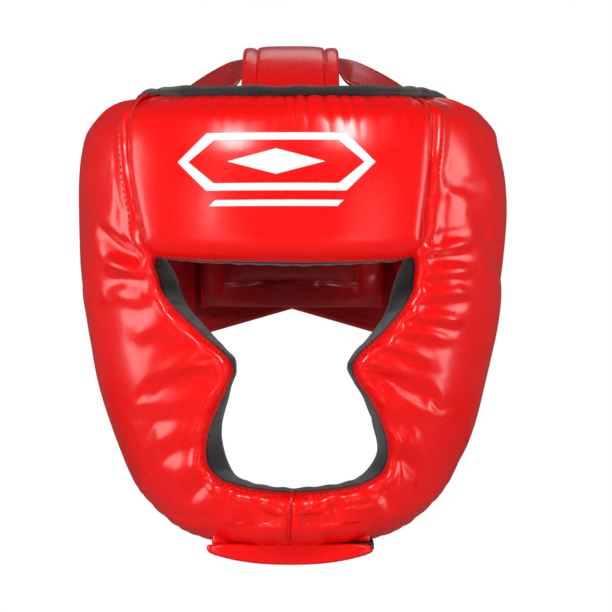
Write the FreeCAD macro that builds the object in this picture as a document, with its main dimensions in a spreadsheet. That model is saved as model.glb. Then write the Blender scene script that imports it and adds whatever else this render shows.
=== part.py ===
"""Closed-face boxing headgear as a parametric FreeCAD document.

The wearer faces -Y, +X is the wearer's left-hand side as somebody in front
sees it on the right, +Z is up. The origin is the middle of the head cavity at
eye level. Lengths are millimetres.

The padded shell lies between two lofts of ovals: the head and the head plus
its padding. Flat outlines, extruded through the lofts, cut the shell into the
forehead panel, the two side panels, bindings and welts. Straps follow ovals
that are offset from the same head size, so they move with it.
"""

import FreeCAD, Part
import os

import Sketcher

SIZES: dict[str, tuple[float, str]] = {
    # The head and its padding.
    "head_half_width": (84.0, "half the cavity's width above the ears"),
    "head_half_length": (100.0, "half the cavity's length, brow to nape"),
    "side_padding": (34.0, "padding over the ears"),
    "front_padding": (30.0, "padding over the forehead and chin"),
    "back_padding": (22.0, "padding that the side panels taper to"),
    "cover_skin": (4.0, "cover, with its backing"),
    "lining_skin": (3.0, "inner lining"),
    "top_ring_height": (126.0, "top of the shell's loft"),
    "low_ring_depth": (140.0, "bottom of the shell's loft"),
    # Rim, bindings and welts.
    "rim_front_y": (-115.0, "front of the top rim"),
    "rim_front_height": (116.0, "top rim over the forehead"),
    "rim_corner_y": (-70.0, "where the rim meets the side panels"),
    "rim_corner_height": (107.0, "top rim at the side panels"),
    "rim_side_y": (20.0, "where the rim starts to fall behind the ears"),
    "rim_side_height": (104.0, "top rim above the ears"),
    "rim_rear_height": (84.0, "top rim at the rear of the side panels"),
    "rim_binding_height": (5.0, "black tape round the rim"),
    "rim_gather_height": (7.0, "gathered strip under the tape"),
    "welt_width": (3.0, "corded welt beside the forehead"),
    "chin_welt_half": (1.2, "half the welt down the chin"),
    "face_tape": (3.0, "tape round the face opening"),
    # Forehead and face opening.
    "forehead_half_top": (87.0, "half the forehead panel at the rim"),
    "forehead_half_brow": (75.0, "half the forehead panel at the brow"),
    "brow_height": (20.0, "brow edge at the middle"),
    "brow_corner_height": (22.0, "brow edge at the eye corners"),
    "eye_half_width": (66.0, "half the eye slot"),
    "eye_low": (-2.0, "lower eye corners"),
    "cheek_half_gap": (31.0, "half the gap between the cheek points"),
    "cheek_low": (-36.0, "height of the cheek points"),
    "mouth_shoulder_half": (37.0, "half the mouth opening below the cheeks"),
    "mouth_shoulder_low": (-50.0, "height of that place"),
    "mouth_half_width": (47.0, "half the mouth opening"),
    "mouth_wide_low": (-78.0, "height where the mouth is widest"),
    "mouth_turn_low": (-89.0, "height where it starts to close"),
    "mouth_base_half": (40.0, "half the mouth opening's base"),
    "mouth_base_low": (-96.0, "height of the base's ends"),
    "mouth_low": (-99.0, "lowest point of the mouth opening"),
    # Side outline.
    "panel_rear": (58.0, "rear edge of the side panels"),
    "panel_rear_low": (-34.0, "foot of the rear edge"),
    "jaw_back_y": (40.0, "jaw line behind the ear"),
    "jaw_back_low": (-70.0, "its height"),
    "jaw_mid_y": (5.0, "jaw line below the ear"),
    "jaw_mid_low": (-100.0, "its height"),
    "jaw_front_y": (-34.0, "jaw line before the chin"),
    "jaw_front_low": (-120.0, "its height"),
    "chin_back_y": (-50.0, "where the flat underside of the chin starts"),
    "chin_low": (-128.0, "underside of the chin bar"),
    "ear_y": (8.0, "ear hole, fore and aft"),
    "ear_height": (-12.0, "ear hole, height"),
    "ear_hole_radius": (14.0, "clear radius of the ear hole"),
    "ear_tape": (2.5, "tape round the ear hole"),
    # Crown.
    "crown_half_width": (26.0, "half the crown strap"),
    "crown_panel_half": (18.0, "half the raised panel on it"),
    "crown_panel_proud": (2.0, "how far that panel stands proud"),
    "crown_centre_y": (8.0, "centre of the crown arch"),
    "crown_centre_height": (50.0, "its height"),
    "crown_reach": (119.0, "half the arch, fore and aft"),
    "crown_rise": (88.0, "arch above its centre"),
    "crown_skin": (4.0, "thickness of the crown strap"),
    "cross_centre_height": (23.0, "centre of the cross straps' arch"),
    "cross_reach": (108.0, "half that arch, side to side"),
    "cross_rise": (115.0, "that arch above its centre"),
    "cross_skin": (3.5, "thickness of the cross straps"),
    "cross_half_width": (22.0, "half a cross strap, fore and aft"),
    "crown_split_y": (30.0, "where the tail leaves the crown strap"),
    "crown_lap": (20.0, "how far the tongue runs under the strap"),
    "tail_low": (66.0, "end of the tail behind the head"),
    "crown_patch_low": (92.0, "foot of the crown patches"),
    "crown_patch_high": (114.0, "head of the crown patches"),
    # Hook-and-loop.
    "patch_skin": (1.2, "one half of a hook-and-loop pair"),
    "patch_gap": (0.4, "gap between the two halves"),
    "patch_margin": (4.0, "strap left beside a patch"),
    # Rear pad and wings.
    "rear_pad_half": (49.0, "half the rear pad"),
    "rear_pad_skin": (12.0, "thickness of the rear pad"),
    "rear_pad_low": (-4.0, "foot of the rear pad"),
    "rear_pad_high": (80.0, "top of the rear pad"),
    "wing_skin": (5.0, "thickness of a wing"),
    "wing_clearance": (0.6, "gap between the pad and the inner wing"),
    "hinge_gap": (0.4, "gap where a moving strap leaves its panel"),
    "wing_lap": (26.0, "how far a wing passes the middle"),
    "wing_root_low": (-32.0, "foot of a wing at its panel"),
    "wing_root_high": (58.0, "top of a wing at its panel"),
    "wing_mid_low": (-5.0, "foot of a wing at the middle"),
    "wing_mid_high": (44.0, "top of a wing at the middle"),
    "wing_tip_low": (3.0, "foot of a wing's end"),
    "wing_tip_high": (38.0, "top of a wing's end"),
    # Chin strap.
    "strap_half_length": (44.0, "half the chin strap, side to side"),
    "strap_front_y": (-92.0, "front edge of the chin strap"),
    "strap_width": (36.0, "chin strap, fore and aft"),
    "strap_skin": (4.5, "thickness of the chin strap"),
    "strap_dip": (3.6, "how far its middle hangs below its ends"),
    "strap_end": (18.0, "flat end of the chin strap"),
    "cup_half": (20.0, "half the chin cup pad"),
    "cup_skin": (5.0, "thickness of the chin cup pad"),
    "cup_inset": (6.0, "strap left before and behind the cup pad"),
    # Print.
    "print_skin": (0.4, "thickness of the print"),
    "print_height": (71.0, "middle of the print"),
    "print_half_width": (52.0, "half the printed hexagon"),
    "print_half_height": (15.5, "half its height"),
    "print_line": (4.0, "width of its line"),
    "lozenge_half_width": (25.0, "half the printed lozenge"),
    "lozenge_half_height": (7.0, "half its height"),
    "bar_gap": (5.0, "gap between the hexagon and the bar"),
    "bar_half_width": (34.0, "half the printed bar"),
    "bar_height": (4.0, "height of the bar"),
}

# One loft ring per row: height as a share of the loft's top (above zero) or
# bottom (below zero), then the shares of the head's half width, the side
# padding, the head's half length and the front and back padding.
RINGS: tuple[tuple[float, float, float, float, float], ...] = (
    (1.000, 0.720, 0.88, 0.74, 1.00),
    (0.825, 0.860, 1.00, 0.87, 1.00),
    (0.603, 0.960, 1.00, 0.97, 1.00),
    (0.317, 1.000, 1.00, 1.00, 1.00),
    (0.000, 0.985, 1.00, 0.985, 1.00),
    (-0.286, 0.915, 0.93, 0.940, 0.97),
    (-0.571, 0.780, 0.84, 0.870, 1.00),
    (-0.743, 0.640, 0.70, 0.820, 1.00),
    (-0.871, 0.565, 0.53, 0.780, 0.95),
    (-1.000, 0.490, 0.42, 0.720, 0.75),
)

FAR = 170.0  # beyond every face of the headgear

Corner = tuple[str, str, float, float]

doc = FreeCAD.newDocument("BoxingHeadgear")
sheet = doc.addObject("Spreadsheet::Sheet", "Sizes")
NODES: list[str] = []


def fill_sheet() -> None:
    """Write every driving size to the sheet, with its alias and its meaning."""
    for row, (alias, (value, meaning)) in enumerate(SIZES.items(), start=1):
        sheet.set(f"A{row}", alias)
        sheet.set(f"B{row}", str(value))
        sheet.setAlias(f"B{row}", alias)
        sheet.set(f"C{row}", meaning)
    doc.recompute()


def sized(text: str) -> str:
    """Return an expression with each size's alias pointing at the sheet."""
    words = []
    word = ""
    for mark in text + " ":
        if mark.isalnum() or mark == "_":
            word += mark
            continue
        words.append(f"Sizes.{word}" if word in SIZES else word)
        word = ""
        words.append(mark)
    return "".join(words).strip()


def bind(thing, prop: str, text: str) -> None:
    """Drive one property of an object from the sheet."""
    thing.setExpression(prop, sized(text))


def node(thing, name: str):
    """Mark an object as a sub-part: its label names its file."""
    thing.Label = name
    NODES.append(thing.Name)
    return thing


def plane_rotation(plane: str) -> FreeCAD.Rotation:
    """Rotation that lays a drawing in XZ (normal +Y) or YZ (normal +X)."""
    up = FreeCAD.Vector(0, 0, 1)
    if plane == "XZ":
        return FreeCAD.Rotation(FreeCAD.Vector(1, 0, 0), up, FreeCAD.Vector(0, -1, 0), "ZXY")
    return FreeCAD.Rotation(FreeCAD.Vector(0, 1, 0), up, FreeCAD.Vector(1, 0, 0), "ZXY")


def draw_corners(sketch, corners: list[Corner], grow: str) -> None:
    """Draw a closed outline whose corners are bound to the sheet.

    Args:
        sketch: the sketch that takes the outline.
        corners: expressions for both coordinates, and the direction in which
            a corner moves as the outline grows.
        grow: expression for how far the outline is grown.
    """
    count = len(corners)
    spots = [
        FreeCAD.Rotation(FreeCAD.Vector(0, 0, 1), 360.0 * at / count).multVec(FreeCAD.Vector(60, 0, 0))
        for at in range(count)
    ]
    for at, spot in enumerate(spots):
        sketch.addGeometry(Part.LineSegment(spot, spots[(at + 1) % count]), False)
    for at in range(count):
        sketch.addConstraint(Sketcher.Constraint("Coincident", at, 2, (at + 1) % count, 1))
    for at, (across, up, side, rise) in enumerate(corners):
        for kind, text, push, spot in (
            ("DistanceX", across, side, spots[at].x),
            ("DistanceY", up, rise, spots[at].y),
        ):
            row = sketch.addConstraint(Sketcher.Constraint(kind, -1, 1, at, 1, spot))
            sketch.setExpression(f"Constraints[{row}]", sized(f"{text} + ({grow}) * ({push})"))


def prism(name: str, plane: str, corners: list[Corner], start: str, length: str, grow: str = "0"):
    """Extrude a bound outline along its plane's own axis, from start onwards."""
    sketch = doc.addObject("Sketcher::SketchObject", f"{name}_outline")
    sketch.Placement = FreeCAD.Placement(FreeCAD.Vector(0, 0, 0), plane_rotation(plane))
    draw_corners(sketch, corners, grow)
    axis = "y" if plane == "XZ" else "x"
    bind(sketch, f"Placement.Base.{axis}", start)
    block = doc.addObject("Part::Extrusion", name)
    block.Base = sketch
    block.DirMode = "Custom"
    block.Dir = FreeCAD.Vector(0, 1, 0) if plane == "XZ" else FreeCAD.Vector(1, 0, 0)
    block.Solid = True
    bind(block, "LengthFwd", length)
    return block


def box(name: str, lows: tuple[str, str, str], highs: tuple[str, str, str]):
    """A Part::Box between two corners given as expressions."""
    block = doc.addObject("Part::Box", name)
    for axis, size, low, high in zip("xyz", ("Length", "Width", "Height"), lows, highs):
        bind(block, f"Placement.Base.{axis}", low)
        bind(block, size, f"({high}) - ({low})")
    return block


def oval_bar(name: str, plane: str, radii: tuple[str, str], centre: tuple[str, str], start: str, length: str):
    """Extrude an oval: first radius along the plane's first axis."""
    oval = doc.addObject("Part::Ellipse", f"{name}_oval")
    first, second = radii
    bind(oval, "MajorRadius", f"max({first}; {second} + 0.01)")
    bind(oval, "MinorRadius", second)
    spin = FreeCAD.Rotation() if plane == "XY" else plane_rotation(plane)
    axes = {"XY": "xyz", "XZ": "xzy", "YZ": "yzx"}[plane]
    oval.Placement = FreeCAD.Placement(FreeCAD.Vector(0, 0, 0), spin)
    for axis, text in zip(axes, (*centre, start)):
        bind(oval, f"Placement.Base.{axis}", text)
    bar = doc.addObject("Part::Extrusion", name)
    bar.Base = oval
    bar.DirMode = "Custom"
    bar.Dir = {"XY": FreeCAD.Vector(0, 0, 1), "XZ": FreeCAD.Vector(0, 1, 0), "YZ": FreeCAD.Vector(1, 0, 0)}[plane]
    bar.Solid = True
    bind(bar, "LengthFwd", length)
    return bar


def cut(name: str, base, tool):
    """Base minus tool."""
    result = doc.addObject("Part::Cut", name)
    result.Base = base
    result.Tool = tool
    result.Refine = False
    return result


def common(name: str, *shapes):
    """What all the shapes share."""
    result = doc.addObject("Part::MultiCommon", name)
    result.Shapes = list(shapes)
    result.Refine = False
    return result


def fuse(name: str, *shapes):
    """All the shapes joined."""
    result = doc.addObject("Part::MultiFuse", name)
    result.Shapes = list(shapes)
    return result


def shell_loft(name: str, padded: float, inset: str):
    """Loft the rings of the head, or of the head with its padding.

    Args:
        name: the loft's name.
        padded: 1 for the outside of the padding, 0 for the bare head.
        inset: expression taken off every radius.
    """
    ovals = []
    for row, (rise, wide, side, deep, ends) in enumerate(RINGS):
        oval = doc.addObject("Part::Ellipse", f"{name}_ring_{row}")
        oval.Placement = FreeCAD.Placement(
            FreeCAD.Vector(0, 0, 0), FreeCAD.Rotation(FreeCAD.Vector(0, 0, 1), 90)
        )
        span = "top_ring_height" if rise >= 0 else "low_ring_depth"
        across = f"head_half_width * {wide} + side_padding * {side * padded} - ({inset})"
        along = f"head_half_length * {deep} + (front_padding + back_padding) * {0.5 * ends * padded} - ({inset})"
        bind(oval, "MinorRadius", across)
        bind(oval, "MajorRadius", f"max({along}; {across} + 0.01)")
        bind(oval, "Placement.Base.z", f"{span} * {rise}")
        bind(oval, "Placement.Base.y", f"(back_padding - front_padding) * {0.5 * ends * padded}")
        ovals.append(oval)
    loft = doc.addObject("Part::Loft", name)
    loft.Sections = ovals
    loft.Solid = True
    loft.Ruled = False
    return loft


def rim_line(drop: str) -> list[Corner]:
    """The top rim seen from the side, front to rear, lowered by drop."""
    slope = "(rim_front_height - rim_corner_height) / (rim_corner_y - rim_front_y)"
    return [
        (f"-{FAR}", f"rim_front_height + {slope} * (rim_front_y + {FAR}) - ({drop})", -1.0, 1.0),
        ("rim_corner_y", f"rim_corner_height - ({drop})", 0.0, 1.0),
        ("rim_side_y", f"rim_side_height - ({drop})", 0.1, 1.0),
        ("panel_rear", f"rim_rear_height - ({drop})", 1.0, 0.9),
    ]


def jaw_line() -> list[Corner]:
    """The rear and lower edges of a side panel, rear to front."""
    return [
        ("panel_rear", "panel_rear_low", 1.0, -0.3),
        ("jaw_back_y", "jaw_back_low", 0.8, -0.7),
        ("jaw_mid_y", "jaw_mid_low", 0.5, -0.9),
        ("jaw_front_y", "jaw_front_low", 0.4, -1.0),
        ("chin_back_y", "chin_low", 0.2, -1.0),
        (f"-{FAR}", "chin_low", -1.0, -1.0),
    ]


def mirrored(half: list[Corner]) -> list[Corner]:
    """Complete an outline from its +X half, listed from top to bottom."""
    other = [(f"-({x})", z, -dx, dz) for x, z, dx, dz in reversed(half) if x != "0"]
    return half + other


def face_outline() -> list[Corner]:
    """The face opening seen from the front: eye slot, nose and mouth."""
    return mirrored([
        ("0", "brow_height", 0.0, 1.0),
        ("eye_half_width", "brow_corner_height", 1.0, 1.0),
        ("eye_half_width", "eye_low", 1.0, -0.5),
        ("cheek_half_gap", "cheek_low", 1.1, 0.0),
        ("mouth_shoulder_half", "mouth_shoulder_low", 1.0, 0.2),
        ("mouth_half_width", "mouth_wide_low", 1.0, 0.1),
        ("mouth_half_width", "mouth_turn_low", 1.0, -0.4),
        ("mouth_base_half", "mouth_base_low", 0.5, -1.0),
        ("0", "mouth_low", 0.0, -1.0),
    ])


def forehead_outline() -> list[Corner]:
    """The forehead panel seen from the front: wider at the rim than the brow."""
    slope = "(forehead_half_top - forehead_half_brow) / (rim_corner_height - brow_corner_height)"
    return mirrored([
        ("0", f"{FAR}", 0.0, 1.0),
        (f"forehead_half_top + {slope} * ({FAR} - rim_corner_height)", f"{FAR}", 1.0, 1.0),
        ("forehead_half_brow", "brow_corner_height", 1.0, 0.0),
        ("eye_half_width", "brow_corner_height", 0.0, 0.0),
        ("0", "brow_height", 0.0, 0.0),
    ])


def build_shell() -> dict:
    """Lofts, layers and cutting blocks that the padded panels share."""
    parts = {
        "printed": shell_loft("printed_loft", 1.0, "-print_skin"),
        "outside": shell_loft("outside_loft", 1.0, "0"),
        "backing": shell_loft("backing_loft", 1.0, "cover_skin"),
        "lining_back": shell_loft("lining_back_loft", 0.0, "-lining_skin"),
        "head": shell_loft("head_loft", 0.0, "0"),
    }
    parts["padding"] = cut("padding_layer", parts["outside"], parts["lining_back"])
    parts["foam"] = cut("foam_layer", parts["backing"], parts["lining_back"])
    parts["lining"] = cut("lining_layer", parts["lining_back"], parts["head"])
    parts["whole"] = cut("whole_layer", parts["outside"], parts["head"])
    trimmed = "rim_binding_height + rim_gather_height"
    parts["profile"] = prism("panel_profile", "YZ", rim_line(trimmed) + jaw_line(), f"-{FAR}", f"{2 * FAR}")
    parts["foam_profile"] = prism(
        "foam_profile", "YZ", rim_line(trimmed) + jaw_line(), f"-{FAR}", f"{2 * FAR}", grow="-cover_skin"
    )
    depth = (f"-{FAR}", f"{FAR} - 10")
    parts["face"] = prism("face_block", "XZ", face_outline(), *depth)
    parts["face_clear"] = prism("face_clear_block", "XZ", face_outline(), *depth, grow="-face_tape")
    parts["face_foam"] = prism("face_foam_block", "XZ", face_outline(), *depth, grow="cover_skin")
    parts["brow"] = prism("forehead_block", "XZ", forehead_outline(), *depth)
    parts["brow_welt"] = prism("forehead_welt_block", "XZ", forehead_outline(), *depth, grow="welt_width")
    parts["brow_foam"] = prism("forehead_foam_block", "XZ", forehead_outline(), *depth, grow="-cover_skin")
    parts["brow_clear"] = prism(
        "forehead_clear_block", "XZ", forehead_outline(), *depth, grow="welt_width + cover_skin"
    )
    parts["above_brow"] = box(
        "above_brow_block",
        (f"-{FAR}", f"-{FAR}", "max(brow_height; brow_corner_height) + cover_skin"),
        (f"{FAR}", "0", f"{FAR}"),
    )
    return parts


def build_forehead(shell: dict) -> None:
    """Forehead panel: cover, foam and lining, then its two corded welts."""
    blank = common("forehead_blank", shell["padding"], shell["brow"], shell["profile"])
    foam = node(
        common("forehead_foam", shell["foam"], shell["brow_foam"], shell["foam_profile"], shell["above_brow"]),
        "forehead_foam",
    )
    node(cut("forehead_cover", blank, foam), "forehead_cover")
    node(common("forehead_lining", shell["lining"], shell["brow"], shell["profile"]), "forehead_lining")
    ring = cut("welt_ring", shell["brow_welt"], shell["brow"])
    strips = common("welt_strips", shell["whole"], ring, shell["profile"])
    strips_clear = cut("welt_strips_clear", strips, shell["face"])
    for side, low, high in (("right", "0", f"{FAR}"), ("left", f"-{FAR}", "0")):
        half = box(f"{side}_welt_half", (low, f"-{FAR}", "brow_height - 5"), (high, "0", f"{FAR}"))
        node(common(f"{side}_seam_welt", strips_clear, half), f"{side}_seam_welt")


def build_sides(shell: dict) -> None:
    """Side panels with their ear holes, and the welt that joins them at the chin."""
    ear = doc.addObject("Part::Cylinder", "ear_block")
    ear_foam = doc.addObject("Part::Cylinder", "ear_foam_block")
    ear_clear = doc.addObject("Part::Cylinder", "ear_clear_block")
    for tool, radius in (
        (ear, "ear_hole_radius + ear_tape"),
        (ear_foam, "ear_hole_radius + ear_tape + cover_skin"),
        (ear_clear, "ear_hole_radius"),
    ):
        tool.Placement = FreeCAD.Placement(
            FreeCAD.Vector(-FAR, 0, 0), FreeCAD.Rotation(FreeCAD.Vector(0, 1, 0), 90)
        )
        bind(tool, "Radius", radius)
        bind(tool, "Height", f"{2 * FAR}")
        bind(tool, "Placement.Base.y", "ear_y")
        bind(tool, "Placement.Base.z", "ear_height")
    holes = fuse("panel_holes", shell["brow_welt"], shell["face"], ear)
    foam_holes = fuse("foam_holes", shell["brow_clear"], shell["face_foam"], ear_foam)
    panel = cut("panel_body", shell["profile"], holes)
    foam_panel = cut("foam_body", shell["foam_profile"], foam_holes)
    ear_ring = cut("ear_ring", ear, ear_clear)
    for side, low, high, low_foam, high_foam in (
        ("right", "chin_welt_half", f"{FAR}", "chin_welt_half + cover_skin", f"{FAR}"),
        ("left", f"-{FAR}", "-chin_welt_half", f"-{FAR}", "-chin_welt_half - cover_skin"),
    ):
        half = box(f"{side}_half", (low, f"-{FAR}", f"-{FAR}"), (high, f"{FAR}", f"{FAR}"))
        foam_half = box(f"{side}_foam_half", (low_foam, f"-{FAR}", f"-{FAR}"), (high_foam, f"{FAR}", f"{FAR}"))
        blank = common(f"{side}_blank", shell["padding"], panel, half)
        foam = node(common(f"{side}_side_foam", shell["foam"], foam_panel, foam_half), f"{side}_side_foam")
        node(cut(f"{side}_side_cover", blank, foam), f"{side}_side_cover")
        node(common(f"{side}_side_lining", shell["lining"], panel, half), f"{side}_side_lining")
        node(common(f"{side}_ear_binding", shell["whole"], ear_ring, half), f"{side}_ear_binding")
    chin = box(
        "chin_welt_block",
        ("-chin_welt_half", f"-{FAR}", "chin_low"),
        ("chin_welt_half", "0", "mouth_low + 10"),
    )
    chin_strip = common("chin_strip", shell["whole"], chin, shell["profile"])
    node(cut("chin_seam_welt", chin_strip, shell["face"]), "chin_seam_welt")


def build_rims(shell: dict) -> None:
    """Tape and gathered strip round the top rim, and tape round the face."""
    for name, top, foot in (
        ("top_binding", "0", "rim_binding_height"),
        ("rim_gather", "rim_binding_height", "rim_binding_height + rim_gather_height"),
    ):
        outline = rim_line(top) + list(reversed(rim_line(foot)))
        band = prism(f"{name}_block", "YZ", outline, f"-{FAR}", f"{2 * FAR}")
        node(common(name, shell["whole"], band), name)
    ring = cut("face_tape_ring", shell["face"], shell["face_clear"])
    node(common("face_binding", shell["whole"], ring), "face_binding")


def build_print(shell: dict) -> None:
    """A plain printed mark: a flat hexagon, a lozenge inside it and a bar below."""
    film = cut("print_film", shell["printed"], shell["outside"])
    depth = (f"-{FAR}", f"{FAR} - 10")
    hexagon = mirrored([
        ("0", "print_height + print_half_height", 0.0, 1.0),
        ("print_half_width - print_half_height", "print_height + print_half_height", 0.414, 1.0),
        ("print_half_width", "print_height", 1.414, 0.0),
        ("print_half_width - print_half_height", "print_height - print_half_height", 0.414, -1.0),
        ("0", "print_height - print_half_height", 0.0, -1.0),
    ])
    outer = prism("hexagon_block", "XZ", hexagon, *depth)
    inner = prism("hexagon_clear_block", "XZ", hexagon, *depth, grow="-print_line")
    node(common("print_hexagon", film, cut("hexagon_line", outer, inner)), "print_hexagon")
    lozenge = prism("lozenge_block", "XZ", mirrored([
        ("0", "print_height + lozenge_half_height", 0.0, 1.0),
        ("lozenge_half_width", "print_height", 1.0, 0.0),
        ("0", "print_height - lozenge_half_height", 0.0, -1.0),
    ]), *depth)
    node(common("print_lozenge", film, lozenge), "print_lozenge")
    foot = "print_height - print_half_height - bar_gap"
    bar = box(
        "bar_block",
        ("-bar_half_width", f"-{FAR}", f"{foot} - bar_height"),
        ("bar_half_width", "-10", foot),
    )
    node(common("print_bar", film, bar), "print_bar")


def arch(name: str, plane: str, reach: str, rise: str, centre: tuple[str, str], far: str, near: str, span: tuple[str, str]):
    """The band between two depths under an arch, far being the outer one."""
    outer = oval_bar(f"{name}_outer", plane, (f"{reach} - ({far})", f"{rise} - ({far})"), centre, *span)
    inner = oval_bar(f"{name}_inner", plane, (f"{reach} - ({near})", f"{rise} - ({near})"), centre, *span)
    return cut(f"{name}_band", outer, inner)


def crown_band(name: str, far: str, near: str, half: str):
    """A band of the fore-and-aft crown arch, at a depth under its top."""
    return arch(
        name, "YZ", "crown_reach", "crown_rise", ("crown_centre_y", "crown_centre_height"),
        far, near, (f"-({half})", f"2 * ({half})"),
    )


def build_crown(shell: dict) -> None:
    """Crown strap, cross straps, and the tail and tongue behind the head."""
    front = box(
        "crown_front_box",
        (f"-{FAR}", f"-{FAR}", "rim_corner_height - 6"),
        (f"{FAR}", "crown_split_y", f"{FAR}"),
    )
    strap = common("crown_front", crown_band("crown_strap_arch", "0", "crown_skin", "crown_half_width"), front)
    node(cut("crown_strap", strap, shell["whole"]), "crown_strap")
    panel_box = box(
        "crown_panel_box",
        (f"-{FAR}", "rim_corner_y + 6", "crown_centre_height"),
        (f"{FAR}", "crown_split_y - 6", f"{FAR}"),
    )
    panel = crown_band("crown_panel_arch", "-crown_panel_proud", "0", "crown_panel_half")
    node(common("crown_panel", panel, panel_box), "crown_panel")

    cross = arch(
        "cross_strap", "XZ", "cross_reach", "cross_rise", ("0", "cross_centre_height"),
        "0", "cross_skin", ("-cross_half_width", "2 * cross_half_width"),
    )
    for side, low, high in (("right", "crown_half_width", f"{FAR}"), ("left", f"-{FAR}", "-crown_half_width")):
        reach = box(f"{side}_cross_box", (low, f"-{FAR}", "rim_rear_height"), (high, f"{FAR}", f"{FAR}"))
        strip = common(f"{side}_cross_strip", cross, reach)
        node(cut(f"{side}_cross_strap", strip, rim_solid(shell, side)), f"{side}_cross_strap")

    patch_depth = "crown_skin + patch_skin"
    tongue_depth = f"{patch_depth} + patch_gap + patch_skin"
    spacer_box = box(
        "crown_spacer_box",
        (f"-{FAR}", "crown_split_y - crown_lap", "crown_centre_height"),
        (f"{FAR}", "crown_split_y - patch_margin", f"{FAR}"),
    )
    node(
        common("crown_spacer", crown_band("crown_spacer_arch", "crown_skin", tongue_depth, "crown_panel_half"), spacer_box),
        "crown_spacer",
    )
    tongue_box = box(
        "crown_tongue_box",
        (f"-{FAR}", "crown_split_y - crown_lap", "rear_pad_high"),
        (f"{FAR}", f"{FAR}", f"{FAR}"),
    )
    tongue = crown_band("crown_tongue_arch", tongue_depth, f"{tongue_depth} + crown_skin", "crown_half_width - patch_margin")
    node(common("crown_tongue", tongue, tongue_box), "crown_tongue")
    tail_box = box(
        "crown_tail_box",
        (f"-{FAR}", "crown_split_y + hinge_gap", "tail_low"),
        (f"{FAR}", f"{FAR}", f"{FAR}"),
    )
    tail = crown_band("crown_tail_arch", "0", "crown_skin", "crown_half_width")
    node(common("crown_tail", tail, tail_box), "crown_tail")
    patch_box = box(
        "crown_patch_box",
        (f"-{FAR}", "crown_split_y", "crown_patch_low"),
        (f"{FAR}", f"{FAR}", "crown_patch_high"),
    )
    half = "crown_half_width - 2 * patch_margin"
    node(common("crown_hook_patch", crown_band("crown_hook_arch", "crown_skin", patch_depth, half), patch_box), "crown_hook_patch")
    node(
        common(
            "crown_loop_patch",
            crown_band("crown_loop_arch", f"{patch_depth} + patch_gap", tongue_depth, half),
            patch_box,
        ),
        "crown_loop_patch",
    )


def rim_solid(shell: dict, side: str):
    """The shell of one side, trimmed to the rim, as a tool for what lands on it."""
    low, high = ("0", f"{FAR}") if side == "right" else (f"-{FAR}", "0")
    outline = rim_line("0") + jaw_line()
    block = prism(f"{side}_rim_profile", "YZ", outline, low, f"({high}) - ({low})")
    return common(f"{side}_rim_solid", shell["whole"], block)


def head_band(name: str, near: str, far: str):
    """An upright band round the head between two distances from it."""
    rings = []
    for label, gap in (("outer", far), ("inner", near)):
        oval = doc.addObject("Part::Ellipse", f"{name}_{label}_oval")
        oval.Placement = FreeCAD.Placement(
            FreeCAD.Vector(0, 0, 0), FreeCAD.Rotation(FreeCAD.Vector(0, 0, 1), 90)
        )
        bind(oval, "MinorRadius", f"head_half_width + {gap}")
        bind(oval, "MajorRadius", f"max(head_half_length; head_half_width + 0.01) + {gap}")
        bind(oval, "Placement.Base.z", "wing_root_low - 20")
        bar = doc.addObject("Part::Extrusion", f"{name}_{label}")
        bar.Base = oval
        bar.DirMode = "Custom"
        bar.Dir = FreeCAD.Vector(0, 0, 1)
        bar.Solid = True
        bind(bar, "LengthFwd", "rear_pad_high - wing_root_low + 40")
        rings.append(bar)
    return cut(f"{name}_band", *rings)


def build_rear_pad() -> None:
    """The pad against the back of the head: cover, foam and lining."""
    skin = "cover_skin * 0.5"
    behind = box(
        "rear_pad_box", ("-rear_pad_half", "0", "rear_pad_low"), ("rear_pad_half", f"{FAR}", "rear_pad_high")
    )
    inside = box(
        "rear_foam_box",
        (f"-rear_pad_half + {skin}", "0", f"rear_pad_low + {skin}"),
        (f"rear_pad_half - {skin}", f"{FAR}", f"rear_pad_high - {skin}"),
    )
    blank = common("rear_pad_blank", head_band("rear_pad", "lining_skin", "rear_pad_skin"), behind)
    foam = node(
        common("rear_pad_foam", head_band("rear_foam", "lining_skin", f"rear_pad_skin - {skin}"), inside),
        "rear_pad_foam",
    )
    node(cut("rear_pad_cover", blank, foam), "rear_pad_cover")
    node(common("rear_pad_lining", head_band("rear_lining", "0", "lining_skin"), behind), "rear_pad_lining")


def build_wings() -> None:
    """Two wings that cross behind the head, with their hook-and-loop patches."""
    start = "panel_rear + hinge_gap"
    inner_near = "rear_pad_skin + wing_clearance"
    inner_far = f"{inner_near} + wing_skin"
    loop_far = f"{inner_far} + patch_skin"
    hook_near = f"{loop_far} + patch_gap"
    outer_near = f"{hook_near} + patch_skin"
    outer_far = f"{outer_near} + wing_skin"
    right_outline: list[Corner] = [
        ("wing_lap * -1", "wing_tip_high", 0, 0),
        ("0", "wing_mid_high", 0, 0),
        (f"head_half_width + {outer_far}", "wing_root_high", 0, 0),
        (f"head_half_width + {outer_far}", "wing_root_low", 0, 0),
        ("0", "wing_mid_low", 0, 0),
        ("wing_lap * -1", "wing_tip_low", 0, 0),
    ]
    left_outline = [(f"-({x})", z, 0.0, 0.0) for x, z, _, _ in right_outline]
    for side, outline, near, far in (
        ("right", right_outline, outer_near, outer_far),
        ("left", left_outline, inner_near, inner_far),
    ):
        block = prism(f"{side}_wing_block", "XZ", outline, start, f"{FAR}")
        node(common(f"{side}_rear_wing", head_band(f"{side}_wing", near, far), block), f"{side}_rear_wing")
    patches = box(
        "wing_patch_box",
        ("-wing_lap + patch_margin", "panel_rear", "wing_tip_low + patch_margin"),
        ("wing_lap - patch_margin", f"{FAR}", "wing_tip_high - patch_margin"),
    )
    node(common("wing_loop_patch", head_band("wing_loop", inner_far, loop_far), patches), "wing_loop_patch")
    node(common("wing_hook_patch", head_band("wing_hook", hook_near, outer_near), patches), "wing_hook_patch")


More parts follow.
